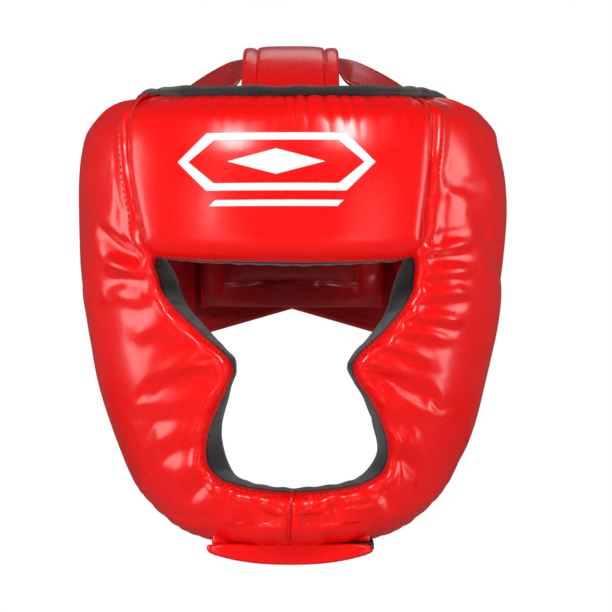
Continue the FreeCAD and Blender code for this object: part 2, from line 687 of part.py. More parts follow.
def strap_body(name: str, corners: list[Corner], front: str, width: str, soften: float = 0.0):
    """A PartDesign body padded rearwards from a front face.

    Args:
        name: the node's name.
        corners: outline in XZ.
        front: expression for the Y of the front face.
        width: expression for its size along Y.
        soften: radius of the fillet on its upright edges, or 0 for none.
    """
    body = doc.addObject("PartDesign::Body", name)
    plane = [face for face in body.Origin.OriginFeatures if face.Role == "XZ_Plane"][0]
    sketch = body.newObject("Sketcher::SketchObject", f"{name}_sketch")
    sketch.AttachmentSupport = [(plane, "")]
    sketch.MapMode = "FlatFace"
    draw_corners(sketch, corners, "0")
    sketch.setExpression("AttachmentOffset.Base.z", sized(f"-({front}) - ({width})"))
    pad = body.newObject("PartDesign::Pad", f"{name}_pad")
    pad.Profile = sketch
    bind(pad, "Length", width)
    doc.recompute()
    if soften > 0.0:
        edges = [
            f"Edge{at}" for at, edge in enumerate(pad.Shape.Edges, start=1)
            if edge.BoundBox.YLength > 1.0
        ]
        rounded = body.newObject("PartDesign::Fillet", f"{name}_fillet")
        rounded.Base = (pad, edges)
        rounded.Radius = soften
        body.Tip = rounded
    return node(body, name)


def build_chin_strap() -> None:
    """Chin strap with its cup pad, sewn on the left and patched on the right."""
    stack = "2 * patch_skin + patch_gap"
    top = f"chin_low - ({stack})"
    low = f"{top} - strap_dip"
    half = "strap_half_length"
    flat = "strap_half_length - strap_end"
    outline: list[Corner] = [
        (f"-{half}", top, 0, 0),
        (f"-({flat})", top, 0, 0),
        ("-cup_half", low, 0, 0),
        ("cup_half", low, 0, 0),
        (f"{flat}", top, 0, 0),
        (half, top, 0, 0),
        (half, f"{top} - strap_skin", 0, 0),
        (f"{flat}", f"{top} - strap_skin", 0, 0),
        ("cup_half", f"{low} - strap_skin", 0, 0),
        ("-cup_half", f"{low} - strap_skin", 0, 0),
        (f"-({flat})", f"{top} - strap_skin", 0, 0),
        (f"-{half}", f"{top} - strap_skin", 0, 0),
    ]
    strap_body("chin_strap", outline, "strap_front_y", "strap_width")

    def slab(left: str, right: str, foot: str, head: str) -> list[Corner]:
        return [(left, foot, 0, 0), (right, foot, 0, 0), (right, head, 0, 0), (left, head, 0, 0)]

    strap_body(
        "chin_cup_pad", slab("-cup_half", "cup_half", low, f"{low} + cup_skin"),
        "strap_front_y + cup_inset", "strap_width - 2 * cup_inset", soften=1.5,
    )
    inner = f"{flat} + 1"
    span = ("strap_front_y + 2", "strap_width - 4")
    strap_body("chin_strap_mount", slab(f"-{half}", f"-({inner})", f"{top} + hinge_gap", "chin_low"), *span)
    strap_body("chin_hook_patch", slab(inner, half, top, f"{top} + patch_skin"), *span)
    strap_body("chin_loop_patch", slab(inner, half, "chin_low - patch_skin", "chin_low"), *span)


def check_document() -> None:
    """Stop if any object failed or any sub-part is not one sound solid."""
    for thing in doc.Objects:
        bad = [state for state in thing.State if state in ("Invalid", "Error")]
        if bad:
            raise RuntimeError(f"{thing.Label}: {bad}")
    for name in NODES:
        thing = doc.getObject(name)
        shape = thing.Shape
        if shape.isNull() or not shape.isValid():
            raise RuntimeError(f"{thing.Label}: no valid shape")
        if len(shape.Solids) != 1:
            raise RuntimeError(f"{thing.Label}: {len(shape.Solids)} solids")


def export_parts() -> None:
    """Write each sub-part to its own STEP file."""
    os.makedirs("parts", exist_ok=True)
    for name in NODES:
        thing = doc.getObject(name)
        thing.Shape.exportStep(f"parts/{thing.Label}.step")
        print(f"{thing.Label}: {thing.Shape.Volume:.0f} mm3")


fill_sheet()
padded_shell = build_shell()
build_forehead(padded_shell)
build_sides(padded_shell)
build_rims(padded_shell)
build_print(padded_shell)
build_crown(padded_shell)
build_rear_pad()
build_wings()
build_chin_strap()
doc.recompute()
check_document()
export_parts()
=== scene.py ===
"""Looks of a closed-face boxing headgear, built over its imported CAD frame.

Shapes are worked out in millimetres as numpy grids and written to meshes in
metres. The wearer faces -Y and +Z is up. A place on the padded shell is given
by its bearing (degrees from the front, positive towards +X) and its height.
"""

import logging
import math
from collections.abc import Callable
from dataclasses import dataclass, field, replace
from enum import Enum

import bpy
import numpy as np
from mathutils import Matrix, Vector


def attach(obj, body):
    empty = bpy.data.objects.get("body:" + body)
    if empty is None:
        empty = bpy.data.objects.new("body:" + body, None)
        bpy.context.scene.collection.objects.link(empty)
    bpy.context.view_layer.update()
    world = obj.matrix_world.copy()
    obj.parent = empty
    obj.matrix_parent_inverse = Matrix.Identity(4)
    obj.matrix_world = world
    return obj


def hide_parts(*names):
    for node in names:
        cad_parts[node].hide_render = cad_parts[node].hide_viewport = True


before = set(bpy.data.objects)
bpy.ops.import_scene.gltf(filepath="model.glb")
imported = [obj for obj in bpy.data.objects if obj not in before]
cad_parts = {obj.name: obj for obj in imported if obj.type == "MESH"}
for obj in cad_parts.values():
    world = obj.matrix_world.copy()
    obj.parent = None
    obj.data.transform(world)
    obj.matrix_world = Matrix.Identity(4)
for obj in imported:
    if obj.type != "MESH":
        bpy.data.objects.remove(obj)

LOG = logging.getLogger("headgear")
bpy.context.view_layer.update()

Array = np.ndarray
Tree = bpy.types.NodeTree
Socket = bpy.types.NodeSocket
Colour = Place = tuple[float, float, float]

BACKWARDS = np.array([0.0, 1.0, 0.0])
LEVEL = np.array([1.0, 1.0, 0.0])
TIP_SHARE = 0.02  # width that a closed end keeps, so that its last faces have an area
SEWN_EDGE = 2  # outer rows of a cloth that stay where they are sewn
CLOTH_TICKS = 20  # steps that a pad is filled for
HEAD_RUN = 108.0  # millimetres on the side pads for one radian of bearing


# ---------------------------------------------------------------- curves


def curve_through(knots: Array, count: int | Array) -> Array:
    """Smooth line through knots.

    Each span is a cubic whose end slopes are the mean slopes of the two spans
    that meet there, measured over the chord lengths between the knots.

    Args:
        knots: (k, d) points.
        count: number of samples, or their places from 0 to 1 by knot number.

    Returns:
        (n, d) points.
    """
    knots = np.asarray(knots, float)
    spots = np.linspace(0, 1, count) if isinstance(count, int) else np.asarray(count, float)
    chord = np.linalg.norm(np.diff(knots, axis=0), axis=1)
    chord = np.maximum(chord, 1e-9)
    slope = np.diff(knots, axis=0) / chord[:, None]
    tangent = np.vstack([slope[:1], 0.5 * (slope[1:] + slope[:-1]), slope[-1:]])
    at = spots * (len(knots) - 1)
    span = np.clip(at.astype(int), 0, len(knots) - 2)
    part = (at - span)[:, None]
    length = chord[span][:, None]
    return (
        (2 * part**3 - 3 * part**2 + 1) * knots[span]
        + (part**3 - 2 * part**2 + part) * length * tangent[span]
        + (3 * part**2 - 2 * part**3) * knots[span + 1]
        + (part**3 - part**2) * length * tangent[span + 1]
    )


def ease(value: Array, low: float, high: float) -> Array:
    """Smooth step from 0 at low to 1 at high."""
    part = np.clip((value - low) / (high - low), 0, 1)
    return part * part * (3 - 2 * part)


def unit(vectors: Array) -> Array:
    """Vectors at length one."""
    return vectors / np.maximum(np.linalg.norm(vectors, axis=-1, keepdims=True), 1e-12)


def grid_normals(points: Array) -> Array:
    """Unit normals of a grid: the cross product of its two running slopes."""
    down = np.gradient(points, axis=0)
    across = np.gradient(points, axis=1)
    return unit(np.cross(down, across))


def path_frames(path: Array, up: Array, closed: bool = False) -> tuple[Array, Array, Array]:
    """Tangent, sideways and up directions along a path, up being kept near the given one."""
    if closed:
        tangent = np.roll(path, -1, axis=0) - np.roll(path, 1, axis=0)
    else:
        tangent = np.gradient(path, axis=0)
    tangent = unit(tangent)
    side = unit(np.cross(tangent, up))
    return tangent, side, np.cross(side, tangent)


def run_along(line: Array) -> Array:
    """Distance of each point of a line from its first."""
    return np.concatenate([[0.0], np.cumsum(np.linalg.norm(np.diff(line, axis=0), axis=1))])


def read_line(line: Array, along: Array, want: Array) -> Array:
    """Values of a line at wanted distances, straight between its own points."""
    return np.stack([np.interp(want, along, line[:, axis]) for axis in range(line.shape[1])], axis=1)


def facing_normals(grid: Array, out: Array) -> Array:
    """A grid's unit normals, each turned to the side that an outward direction is on."""
    normal = grid_normals(grid)
    return normal * np.sign(np.sum(normal * out, axis=2, keepdims=True))


# ---------------------------------------------------------------- meshes


def quad_sheet(rows: int, cols: int, wrap_rows: bool = False, wrap_cols: bool = False) -> Array:
    """Corner numbers of a grid's quads, optionally joined end to end."""
    down = np.arange(rows if wrap_rows else rows - 1)
    across = np.arange(cols if wrap_cols else cols - 1)
    row, col = np.meshgrid(down, across, indexing="ij")
    next_row, next_col = (row + 1) % rows, (col + 1) % cols
    corners = [row * cols + col, next_row * cols + col, next_row * cols + next_col, row * cols + next_col]
    return np.stack([corner.ravel() for corner in corners], axis=1)


@dataclass
class Shape:
    """Points, quads and pattern coordinates of one piece before it is a mesh."""

    points: Array
    quads: Array
    pattern: Array | None = None

    @staticmethod
    def sheet(points: Array, wrap_rows: bool = False, wrap_cols: bool = False) -> "Shape":
        """One grid, with its pattern coordinates in metres along its two ways."""
        rows, cols = points.shape[:2]
        down = np.cumsum(np.linalg.norm(np.diff(points, axis=0, prepend=points[:1]), axis=2), axis=0)
        across = np.cumsum(np.linalg.norm(np.diff(points, axis=1, prepend=points[:, :1]), axis=2), axis=1)
        pattern = np.stack([down, across], axis=2).reshape(-1, 2) * 0.001
        return Shape(points.reshape(-1, 3), quad_sheet(rows, cols, wrap_rows, wrap_cols), pattern)

    @staticmethod
    def slab(front: Array, back: Array) -> "Shape":
        """A closed body between two grids of the same size.

        The columns run round both grids, and a strip of quads closes each end.
        """
        rows, cols = front.shape[:2]
        loop = np.concatenate([front, back[:, ::-1]], axis=1)
        shape = Shape.sheet(loop, wrap_cols=True)
        near = np.arange(cols - 1)
        far = 2 * cols - 1 - near
        first = np.stack([near, near + 1, far - 1, far], axis=1)
        last = first[:, ::-1] + (rows - 1) * 2 * cols
        shape.quads = np.vstack([shape.quads, first, last])
        return shape

    @staticmethod
    def joined(shapes: list["Shape"]) -> "Shape":
        """Several shapes as one."""
        starts = np.cumsum([0] + [len(shape.points) for shape in shapes[:-1]])
        return Shape(
            np.vstack([shape.points for shape in shapes]),
            np.vstack([shape.quads + start for shape, start in zip(shapes, starts)]),
            np.vstack([shape.pattern for shape in shapes]) if shapes[0].pattern is not None else None,
        )

    def turned_out(self) -> "Shape":
        """The same closed shape with its faces outwards: a negative volume turns them."""
        first, second, third, fourth = (self.points[self.quads[:, at]] for at in range(4))
        volume = np.einsum("ij,ij->", first, np.cross(second, third))
        volume += np.einsum("ij,ij->", first, np.cross(third, fourth))
        return self if volume > 0 else Shape(self.points, self.quads[:, ::-1], self.pattern)

    def mesh(self, name: str) -> bpy.types.Object:
        """Write the shape to a mesh in metres and link its object at the origin."""
        data = bpy.data.meshes.new(name)
        count = len(self.quads)
        data.vertices.add(len(self.points))
        data.vertices.foreach_set("co", (self.points * 0.001).astype(np.float32).ravel())
        data.loops.add(4 * count)
        data.loops.foreach_set("vertex_index", self.quads.astype(np.int32).ravel())
        data.polygons.add(count)
        data.polygons.foreach_set("loop_start", np.arange(0, 4 * count, 4, dtype=np.int32))
        data.polygons.foreach_set("loop_total", np.full(count, 4, np.int32))
        data.update(calc_edges=True)
        if self.pattern is not None:
            layer = data.uv_layers.new(name="Pattern")
            layer.data.foreach_set("uv", self.pattern[self.quads.ravel()].astype(np.float32).ravel())
        data.validate()
        data.polygons.foreach_set("use_smooth", np.ones(len(data.polygons), bool))
        piece = bpy.data.objects.new(name, data)
        bpy.context.scene.collection.objects.link(piece)
        return piece


def tube(path: Array, up: Array, section: Array, closed: bool = False) -> Shape:
    """Carry a closed section along a path.

    Args:
        path: (n, 3) points.
        up: (n, 3) directions the section's second axis points in.
        section: (m, 2) or (n, m, 2) offsets sideways and up.
        closed: True joins the last point to the first.

    Returns:
        The closed shape.
    """
    _, side, rise = path_frames(path, up, closed)
    if section.ndim == 2:
        section = np.broadcast_to(section, (len(path), *section.shape))
    rings = path[:, None] + section[..., :1] * side[:, None] + section[..., 1:] * rise[:, None]
    if not closed:
        tips = [rings[:1].mean(axis=1, keepdims=True), rings[-1:].mean(axis=1, keepdims=True)]
        near = tips[0] + (rings[:1] - tips[0]) * TIP_SHARE
        far = tips[1] + (rings[-1:] - tips[1]) * TIP_SHARE
        rings = np.concatenate([near, rings, far], axis=0)
    return Shape.sheet(rings, wrap_rows=closed, wrap_cols=True).turned_out()


def oval(width: float, height: float, count: int = 14) -> Array:
    """An oval section by its full width and height."""
    turn = np.linspace(0, 2 * math.pi, count, endpoint=False)
    return np.stack([0.5 * width * np.cos(turn), 0.5 * height * np.sin(turn)], axis=1)


def stitch_row(path: Array, up: Array, pitch: float, length: float, thick: float, slant: float = 0.0) -> Shape:
    """A row of small capsules, one every pitch along a path.

    A capsule is a circle of six points swept along five stations, whose radius
    is the height of a half circle at that station.

    Args:
        path: (n, 3) line that the thread follows.
        up: (n, 3) directions away from the surface.
        pitch: distance between stitches.
        length: length of one stitch.
        thick: thread thickness.
        slant: degrees each stitch turns about its own up direction.

    Returns:
        All the stitches as one shape.
    """
    along = run_along(path)
    count = max(2, int(along[-1] / pitch))
    want = (np.arange(count) + 0.5) * along[-1] / count
    centre = read_line(path, along, want)
    lift = unit(read_line(up, along, want))
    tangent = np.gradient(centre, axis=0)
    tangent = unit(tangent - lift * np.sum(tangent * lift, axis=1, keepdims=True))
    side = np.cross(lift, tangent)
    turn = math.radians(slant)
    tangent, side = (
        tangent * math.cos(turn) + side * math.sin(turn), side * math.cos(turn) - tangent * math.sin(turn)
    )
    station = np.linspace(-1, 1, 5)
    radius = 0.5 * thick * np.sqrt(np.clip(1 - 0.92 * station**4, 0, 1))
    ring = np.linspace(0, 2 * math.pi, 6, endpoint=False)
    spots = (
        centre[:, None, None]
        + (0.5 * length * station)[None, :, None, None] * tangent[:, None, None]
        + (radius[:, None] * np.cos(ring))[None, :, :, None] * side[:, None, None]
        + (radius[:, None] * np.sin(ring) - 0.15 * thick * station[:, None] ** 2)[None, :, :, None]
        * lift[:, None, None]
    )
    quads = quad_sheet(5, 6, wrap_cols=True)
    ends = np.array([[0, 1, 2, 3], [0, 3, 4, 5], [27, 26, 25, 24], [29, 28, 27, 24]])
    one = np.vstack([quads, ends])
    every = (one[None] + 30 * np.arange(count)[:, None, None]).reshape(-1, 4)
    points = spots.reshape(-1, 3)
    return Shape(points, every, points[:, :2] * 0.001).turned_out()


def bilinear(grid: Array, rows: Array, cols: Array) -> Array:
    """Read a grid at fractional rows and columns."""
    low_row = np.clip(np.floor(rows).astype(int), 0, grid.shape[0] - 2)
    low_col = np.clip(np.floor(cols).astype(int), 0, grid.shape[1] - 2)
    down, across = (rows - low_row)[..., None], (cols - low_col)[..., None]
    return (
        grid[low_row, low_col] * (1 - down) * (1 - across)
        + grid[low_row + 1, low_col] * down * (1 - across)
        + grid[low_row, low_col + 1] * (1 - down) * across
        + grid[low_row + 1, low_col + 1] * down * across
    )


# ---------------------------------------------------------------- the shell's form


@dataclass(frozen=True)
class ShellForm:
    """The head's oval and the padding's oval at each height.

    One row is a height, the padding's half width, front and back reach, and
    the cavity's half width and half length.
    """

    table: Array = field(default_factory=lambda: np.array([
        (-146.0, 54.0, 88.0, 84.0, 38.0, 68.0),
        (-134.0, 64.0, 99.0, 92.0, 43.0, 73.0),
        (-122.0, 73.5, 108.0, 98.0, 48.0, 77.0),
        (-104.0, 85.5, 114.0, 104.0, 55.0, 81.5),
        (-80.0, 96.0, 119.0, 109.0, 65.5, 86.5),
        (-40.0, 108.2, 124.5, 115.3, 76.5, 93.5),
        (0.0, 114.6, 129.0, 120.5, 82.0, 97.5),
        (40.0, 117.4, 131.0, 122.0, 83.5, 99.0),
        (76.0, 116.6, 128.5, 119.0, 80.5, 96.0),
        (96.0, 112.5, 122.5, 112.0, 75.0, 90.5),
        (108.0, 107.0, 116.0, 107.0, 70.5, 85.0),
        (128.0, 94.0, 100.0, 94.0, 60.0, 73.0),
    ]))

    def row(self, height: Array) -> list[Array]:
        """Read the table's columns at any height, with smooth cubic spans."""
        height = np.asarray(height, float)
        levels = self.table[:, 0]
        spots = np.interp(height.ravel(), levels, np.linspace(0, 1, len(levels)))
        values = curve_through(self.table, spots)
        return [values[:, at].reshape(height.shape) for at in range(1, 6)]

    def outer(self, bearing: Array, height: Array) -> Array:
        """Point on the padding: an oval whose middle lies between its front and back reach."""
        wide, front, back, _, _ = self.row(height)
        turn = np.radians(bearing)
        middle, deep = 0.5 * (back - front), 0.5 * (back + front)
        across, fore = wide * np.sin(turn), middle - deep * np.cos(turn)
        return np.stack([across, fore, np.asarray(height, float)], axis=-1)

    def inner(self, bearing: Array, height: Array, gap: float = 0.0) -> Array:
        """Point on the head's own oval, pushed outwards by a gap."""
        _, _, _, wide, deep = self.row(height)
        turn = np.radians(bearing)
        return np.stack(
            [(wide + gap) * np.sin(turn), -(deep + gap) * np.cos(turn), np.asarray(height, float)], axis=-1
        )

    def outward(self, bearing: Array, height: Array) -> Array:
        """Unit normal of the padding, from its two running slopes."""
        bearing, height = np.broadcast_arrays(np.asarray(bearing, float), np.asarray(height, float))
        turned = self.outer(bearing + 0.2, height) - self.outer(bearing - 0.2, height)
        raised = self.outer(bearing, height + 0.5) - self.outer(bearing, height - 0.5)
        return unit(np.cross(turned, raised))

    def bearing_at(self, across: Array, height: Array) -> Array:
        """Bearing of the point of the padding's front half that is this far across."""
        wide = self.row(height)[0]
        return np.degrees(np.arcsin(np.clip(np.asarray(across, float) / wide, -1, 1)))

    def inner_bearing_at(self, across: Array, height: Array) -> Array:
        """The same for the head's own oval."""
        wide = self.row(height)[3]
        return np.degrees(np.arcsin(np.clip(np.asarray(across, float) / wide, -1, 1)))


FORM = ShellForm()


def roll(distance: Array, radius: Array | float, depth: Array | float) -> Array:
    """How far a padded edge falls: a quarter oval of that radius and depth."""
    part = np.clip(1 - distance / radius, 0, 1)
    return depth * (1 - np.sqrt(np.clip(1 - part * part, 0, 1)))


def edge_steps(length: Array, near: float, far: float, fine: int, middle: int) -> Array:
    """Distances along rows of given lengths, close together over both rolled edges.

    Over an edge of radius r the steps are r times one minus the cosine of an
    even turn, so that a quarter oval gets even facets.
    """
    length = np.asarray(length, float)[:, None]
    near_reach = np.minimum(near, 0.42 * length)
    far_reach = np.minimum(far, 0.42 * length)
    turn = np.linspace(0, 0.5 * math.pi, fine)[None]
    first = near_reach * (1 - np.cos(turn))
    last = length - far_reach * (1 - np.sin(turn))
    part = np.linspace(0, 1, middle + 2)[None, 1:-1]
    centre = near_reach + (length - far_reach - near_reach) * part
    return np.concatenate([first, centre, last], axis=1)


def across_places(edge: float, fine: int, middle: int) -> Array:
    """A row of places from -1 to 1 across a strap, close together over its rounded edges."""
    return edge_steps(np.array([2.0]), edge, edge, fine, middle)[0][None] - 1


@dataclass(frozen=True)
class Fold:
    """A crease or ridge in the cover: a line on the unrolled shell with soft ends.

    start and end are bearing and height, width is the fold's half width, and
    rise is its height, negative for a crease.
    """

    start: tuple[float, float]
    end: tuple[float, float]
    width: float
    rise: float
    bow: float = 0.0

    def lift(self, bearing: Array, height: Array) -> Array:
        """Height of the fold: a bell across its line, faded towards both ends."""
        scale = math.radians(1) * HEAD_RUN
        here = np.stack([bearing * scale, height], axis=-1)
        first = np.array([self.start[0] * scale, self.start[1]])
        last = np.array([self.end[0] * scale, self.end[1]])
        run = last - first
        length = float(np.hypot(*run))
        way = run / length
        along = (here - first) @ way / length
        off = (here - first) @ np.array([-way[1], way[0]])
        off = off - self.bow * 4 * along * (1 - along)
        fade = ease(along, -0.12, 0.22) * (1 - ease(along, 0.6, 1.1))
        beside = np.exp(-(((np.abs(off) - 1.9 * self.width) / self.width) ** 2))
        return self.rise * fade * (np.exp(-((off / self.width) ** 2)) - 0.45 * beside)


# ---------------------------------------------------------------- finishes


class Slot(Enum):
    """Material slots of the record."""

    COVER = "red_cover_leather"
    STRAP = "red_strap_leather"
    WELT = "red_welt"
    LINING = "black_lining"
    TAPE = "black_tape"
    PILE = "hook_and_loop"
    PRINT = "white_print"


def new_group(
    name: str, inputs: dict[str, float | None], outputs: tuple[str, ...]
) -> tuple[Tree, bpy.types.Node, bpy.types.Node]:
    """Start a shader node group.

    Args:
        name: the group's name.
        inputs: value inputs with their defaults; None makes a vector input.
        outputs: names of its value outputs.

    Returns:
        The tree, its input node and its output node.
    """
    tree = bpy.data.node_groups.new(name, "ShaderNodeTree")
    for label, value in inputs.items():
        kind = "NodeSocketVector" if value is None else "NodeSocketFloat"
        socket = tree.interface.new_socket(name=label, in_out="INPUT", socket_type=kind)
        if value is not None:
            socket.default_value = value
    for label in outputs:
        tree.interface.new_socket(name=label, in_out="OUTPUT", socket_type="NodeSocketFloat")
    return tree, tree.nodes.new("NodeGroupInput"), tree.nodes.new("NodeGroupOutput")


def math_node(tree: Tree, operation: str, *values: Socket | float) -> Socket:
    """Work out a value.

    Args:
        tree: the tree it is worked out in.
        operation: the Math node's operation.
        values: its inputs, each a socket or a number.

    Returns:
        The node's output.
    """
    node = tree.nodes.new("ShaderNodeMath")
    node.operation = operation
    for socket, value in zip(node.inputs, values):
        if isinstance(value, (int, float)):
            socket.default_value = value
        else:
            tree.links.new(value, socket)
    return node.outputs[0]


def noise(
    tree: Tree, vector: Socket, scale: float | Socket, detail: float = 2.0, rough: float = 0.5
) -> Socket:
    """Soft noise over a vector; returns its value."""
    node = tree.nodes.new("ShaderNodeTexNoise")
    node.inputs["Detail"].default_value = detail
    node.inputs["Roughness"].default_value = rough
    tree.links.new(vector, node.inputs["Vector"])
    if isinstance(scale, float):
        node.inputs["Scale"].default_value = scale
    else:
        tree.links.new(scale, node.inputs["Scale"])
    return node.outputs["Fac"]


def leather_group() -> Tree:
    """Grain of coated leather: small pebbles, soft waves and a mottle for its colour."""
    tree, given, made = new_group(
        "LeatherGrain",
        {"Vector": None, "Pebble Scale": 1100.0, "Wave Scale": 26.0, "Wave Share": 0.6},
        ("Height", "Mottle", "Rub"),
    )
    place = given.outputs["Vector"]
    pebble = tree.nodes.new("ShaderNodeTexVoronoi")
    pebble.feature = "SMOOTH_F1"
    tree.links.new(place, pebble.inputs["Vector"])
    tree.links.new(given.outputs["Pebble Scale"], pebble.inputs["Scale"])
    wave = noise(tree, place, given.outputs["Wave Scale"], detail=3.0)
    broad = math_node(tree, "MULTIPLY", wave, given.outputs["Wave Share"])
    fine = math_node(tree, "MULTIPLY", pebble.outputs["Distance"], 0.006)
    tree.links.new(math_node(tree, "ADD", broad, fine), made.inputs["Height"])
    tree.links.new(noise(tree, place, 9.0, detail=4.0), made.inputs["Mottle"])
    tree.links.new(noise(tree, place, 70.0, detail=6.0, rough=0.7), made.inputs["Rub"])
    return tree


def weave_group() -> Tree:
    """Plain weave: ribs one way and threads the other, crossed at a set pitch, with painted shade in its
    hollows.
    """
    tree, given, made = new_group(
        "TapeWeave", {"Vector": None, "Along Pitch": 1400.0, "Across Pitch": 2400.0}, ("Height", "Shade")
    )
    split = tree.nodes.new("ShaderNodeSeparateXYZ")
    tree.links.new(given.outputs["Vector"], split.inputs[0])
    ribs, threads = (
        math_node(tree, "SINE", math_node(tree, "MULTIPLY", split.outputs[axis], given.outputs[label]))
        for axis, label in enumerate(("Along Pitch", "Across Pitch"))
    )
    high = math_node(tree, "MULTIPLY_ADD", math_node(tree, "MULTIPLY", ribs, threads), 0.5, 0.5)
    tree.links.new(high, made.inputs["Height"])
    # Shade is the fuzz noise times the weave's height, so the colour darkens into the weave's hollows. That is
    # painted shade there, with a random tone on the raised threads.
    fuzz = noise(tree, given.outputs["Vector"], 260.0)
    tree.links.new(math_node(tree, "MULTIPLY", fuzz, high), made.inputs["Shade"])
    return tree


class Groups:
    """The shared node groups, each built once."""

    leather: Tree | None = None
    weave: Tree | None = None

    @classmethod
    def build(cls) -> None:
        """Make both groups."""
        cls.leather = leather_group()
        cls.weave = weave_group()


def blank_material(name: str) -> tuple[bpy.types.Material, Tree, bpy.types.Node]:
    """A new material with only its output and a Principled shader; returns it, its tree and the shader."""
    material = bpy.data.materials.new(name)
    material.use_nodes = True
    return material, material.node_tree, material.node_tree.nodes["Principled BSDF"]


def place_group(tree: Tree, group: Tree, vector: Socket, values: dict[str, float]) -> bpy.types.Node:
    """Put a shared group into a material.

    Args:
        tree: the material's tree.
        group: the shared group.
        vector: the coordinates it reads.
        values: this material's own input values by name.

    Returns:
        The group's node.
    """
    node = tree.nodes.new("ShaderNodeGroup")
    node.node_tree = group
    tree.links.new(vector, node.inputs["Vector"])
    for label, value in values.items():
        node.inputs[label].default_value = value
    return node


def blend_colours(tree: Tree, mask: Socket, low: Colour, high: Colour) -> Socket:
    """Colour that runs from low to high with a mask."""
    ramp = tree.nodes.new("ShaderNodeValToRGB")
    for stop, place, colour in zip(ramp.color_ramp.elements, (0.3, 0.7), (low, high)):
        stop.position = place
        stop.color = (*colour, 1.0)
    tree.links.new(mask, ramp.inputs[0])
    return ramp.outputs[0]


def ranged(tree: Tree, mask: Socket, low: float, high: float) -> Socket:
    """A mask's middle part spread between two values."""
    node = tree.nodes.new("ShaderNodeMapRange")
    for label, value in (("From Min", 0.3), ("From Max", 0.7), ("To Min", low), ("To Max", high)):
        node.inputs[label].default_value = value
    tree.links.new(mask, node.inputs["Value"])
    return node.outputs[0]


@dataclass(frozen=True)
class Finish:
    """A named procedural material whose base colour runs from low to high with a mask."""

    name: str
    low: Colour
    high: Colour

    def start(self, coordinates: str = "Object") -> tuple[bpy.types.Material, Tree, bpy.types.Node, Socket]:
        """Make the bare material.

        Args:
            coordinates: the Texture Coordinate output that its pattern reads.

        Returns:
            The material, its tree, its shader and the coordinates.
        """
        material, tree, shader = blank_material(self.name)
        return material, tree, shader, tree.nodes.new("ShaderNodeTexCoord").outputs[coordinates]

    def tint(self, tree: Tree, shader: bpy.types.Node, mask: Socket) -> None:
        """Run the base colour with a mask."""
        tree.links.new(blend_colours(tree, mask, self.low, self.high), shader.inputs["Base Color"])

    @staticmethod
    def emboss(tree: Tree, shader: bpy.types.Node, height: Socket, strength: float, distance: float) -> None:
        """Raise the surface by a height, to a distance in metres."""
        bump = tree.nodes.new("ShaderNodeBump")
        bump.inputs["Strength"].default_value = strength
        bump.inputs["Distance"].default_value = distance
        tree.links.new(height, bump.inputs["Height"])
        tree.links.new(bump.outputs[0], shader.inputs["Normal"])


@dataclass(frozen=True)
class GlossLeather(Finish):
    """Coated leather with a soft gloss over a fine grain."""

    rough: tuple[float, float] = (0.24, 0.31)
    coat: float = 0.40
    coat_rough: float = 0.18
    grain: float = 0.04
    wave_share: float = 0.30

    def build(self) -> bpy.types.Material:
        """Make the material."""
        material, tree, shader, place = self.start()
        grain = place_group(tree, Groups.leather, place, {"Wave Share": self.wave_share})
        self.tint(tree, shader, grain.outputs["Mottle"])
        tree.links.new(ranged(tree, grain.outputs["Rub"], *self.rough), shader.inputs["Roughness"])
        self.emboss(tree, shader, grain.outputs["Height"], self.grain, 0.002)
        shader.inputs["Coat Weight"].default_value = self.coat
        shader.inputs["Coat Roughness"].default_value = self.coat_rough
        shader.inputs["Coat IOR"].default_value = 1.5
        shader.inputs["IOR"].default_value = 1.45
        return material


@dataclass(frozen=True)
class WovenTape(Finish):
    """Matt woven fabric whose ribs follow the piece's own pattern coordinates."""

    along: float = 2600.0
    across: float = 3800.0
    depth: float = 0.5
    sheen: float = 0.25

    def build(self) -> bpy.types.Material:
        """Make the material."""
        material, tree, shader, place = self.start("UV")
        pitches = {"Along Pitch": self.along, "Across Pitch": self.across}
        weave = place_group(tree, Groups.weave, place, pitches)
        # The weave's Shade darkens the cloth in its hollows: painted shade, with a random tone on the threads.
        self.tint(tree, shader, weave.outputs["Shade"])
        self.emboss(tree, shader, weave.outputs["Height"], self.depth, 0.0006)
        shader.inputs["Roughness"].default_value = 0.85
        shader.inputs["Sheen Weight"].default_value = self.sheen
        shader.inputs["Sheen Roughness"].default_value = 0.5
        return material


@dataclass(frozen=True)
class Pile(Finish):
    """Hook-and-loop tape: a dense matt pile of small hooks, lighter at the middle of each."""

    def build(self) -> bpy.types.Material:
        """Make the material."""
        material, tree, shader, place = self.start()
        hooks = tree.nodes.new("ShaderNodeTexVoronoi")
        hooks.inputs["Scale"].default_value = 900.0
        tree.links.new(place, hooks.inputs["Vector"])
        self.tint(tree, shader, hooks.outputs["Distance"])
        self.emboss(tree, shader, hooks.outputs["Distance"], 0.9, 0.0008)
        shader.inputs["Roughness"].default_value = 0.95
        return material


@dataclass(frozen=True)
class Ink(Finish):
    """Printed ink that fills the leather's grain."""

    def build(self) -> bpy.types.Material:
        """Make the material."""
        material, tree, shader, place = self.start()
        grain = place_group(tree, Groups.leather, place, {"Wave Share": 0.3})
        self.tint(tree, shader, grain.outputs["Rub"])
        self.emboss(tree, shader, grain.outputs["Height"], 0.1, 0.002)
        shader.inputs["Roughness"].default_value = 0.4
        return material


@dataclass(frozen=True)
class Thread(Finish):
    """Twisted sewing thread with a slight sheen."""

    def build(self) -> bpy.types.Material:
        """Make the material."""
        material, tree, shader, place = self.start()
        twist = noise(tree, place, 1500.0)
        self.tint(tree, shader, twist)
        self.emboss(tree, shader, twist, 0.4, 0.0004)
        shader.inputs["Roughness"].default_value = 0.6
        shader.inputs["Sheen Weight"].default_value = 0.3
        return material


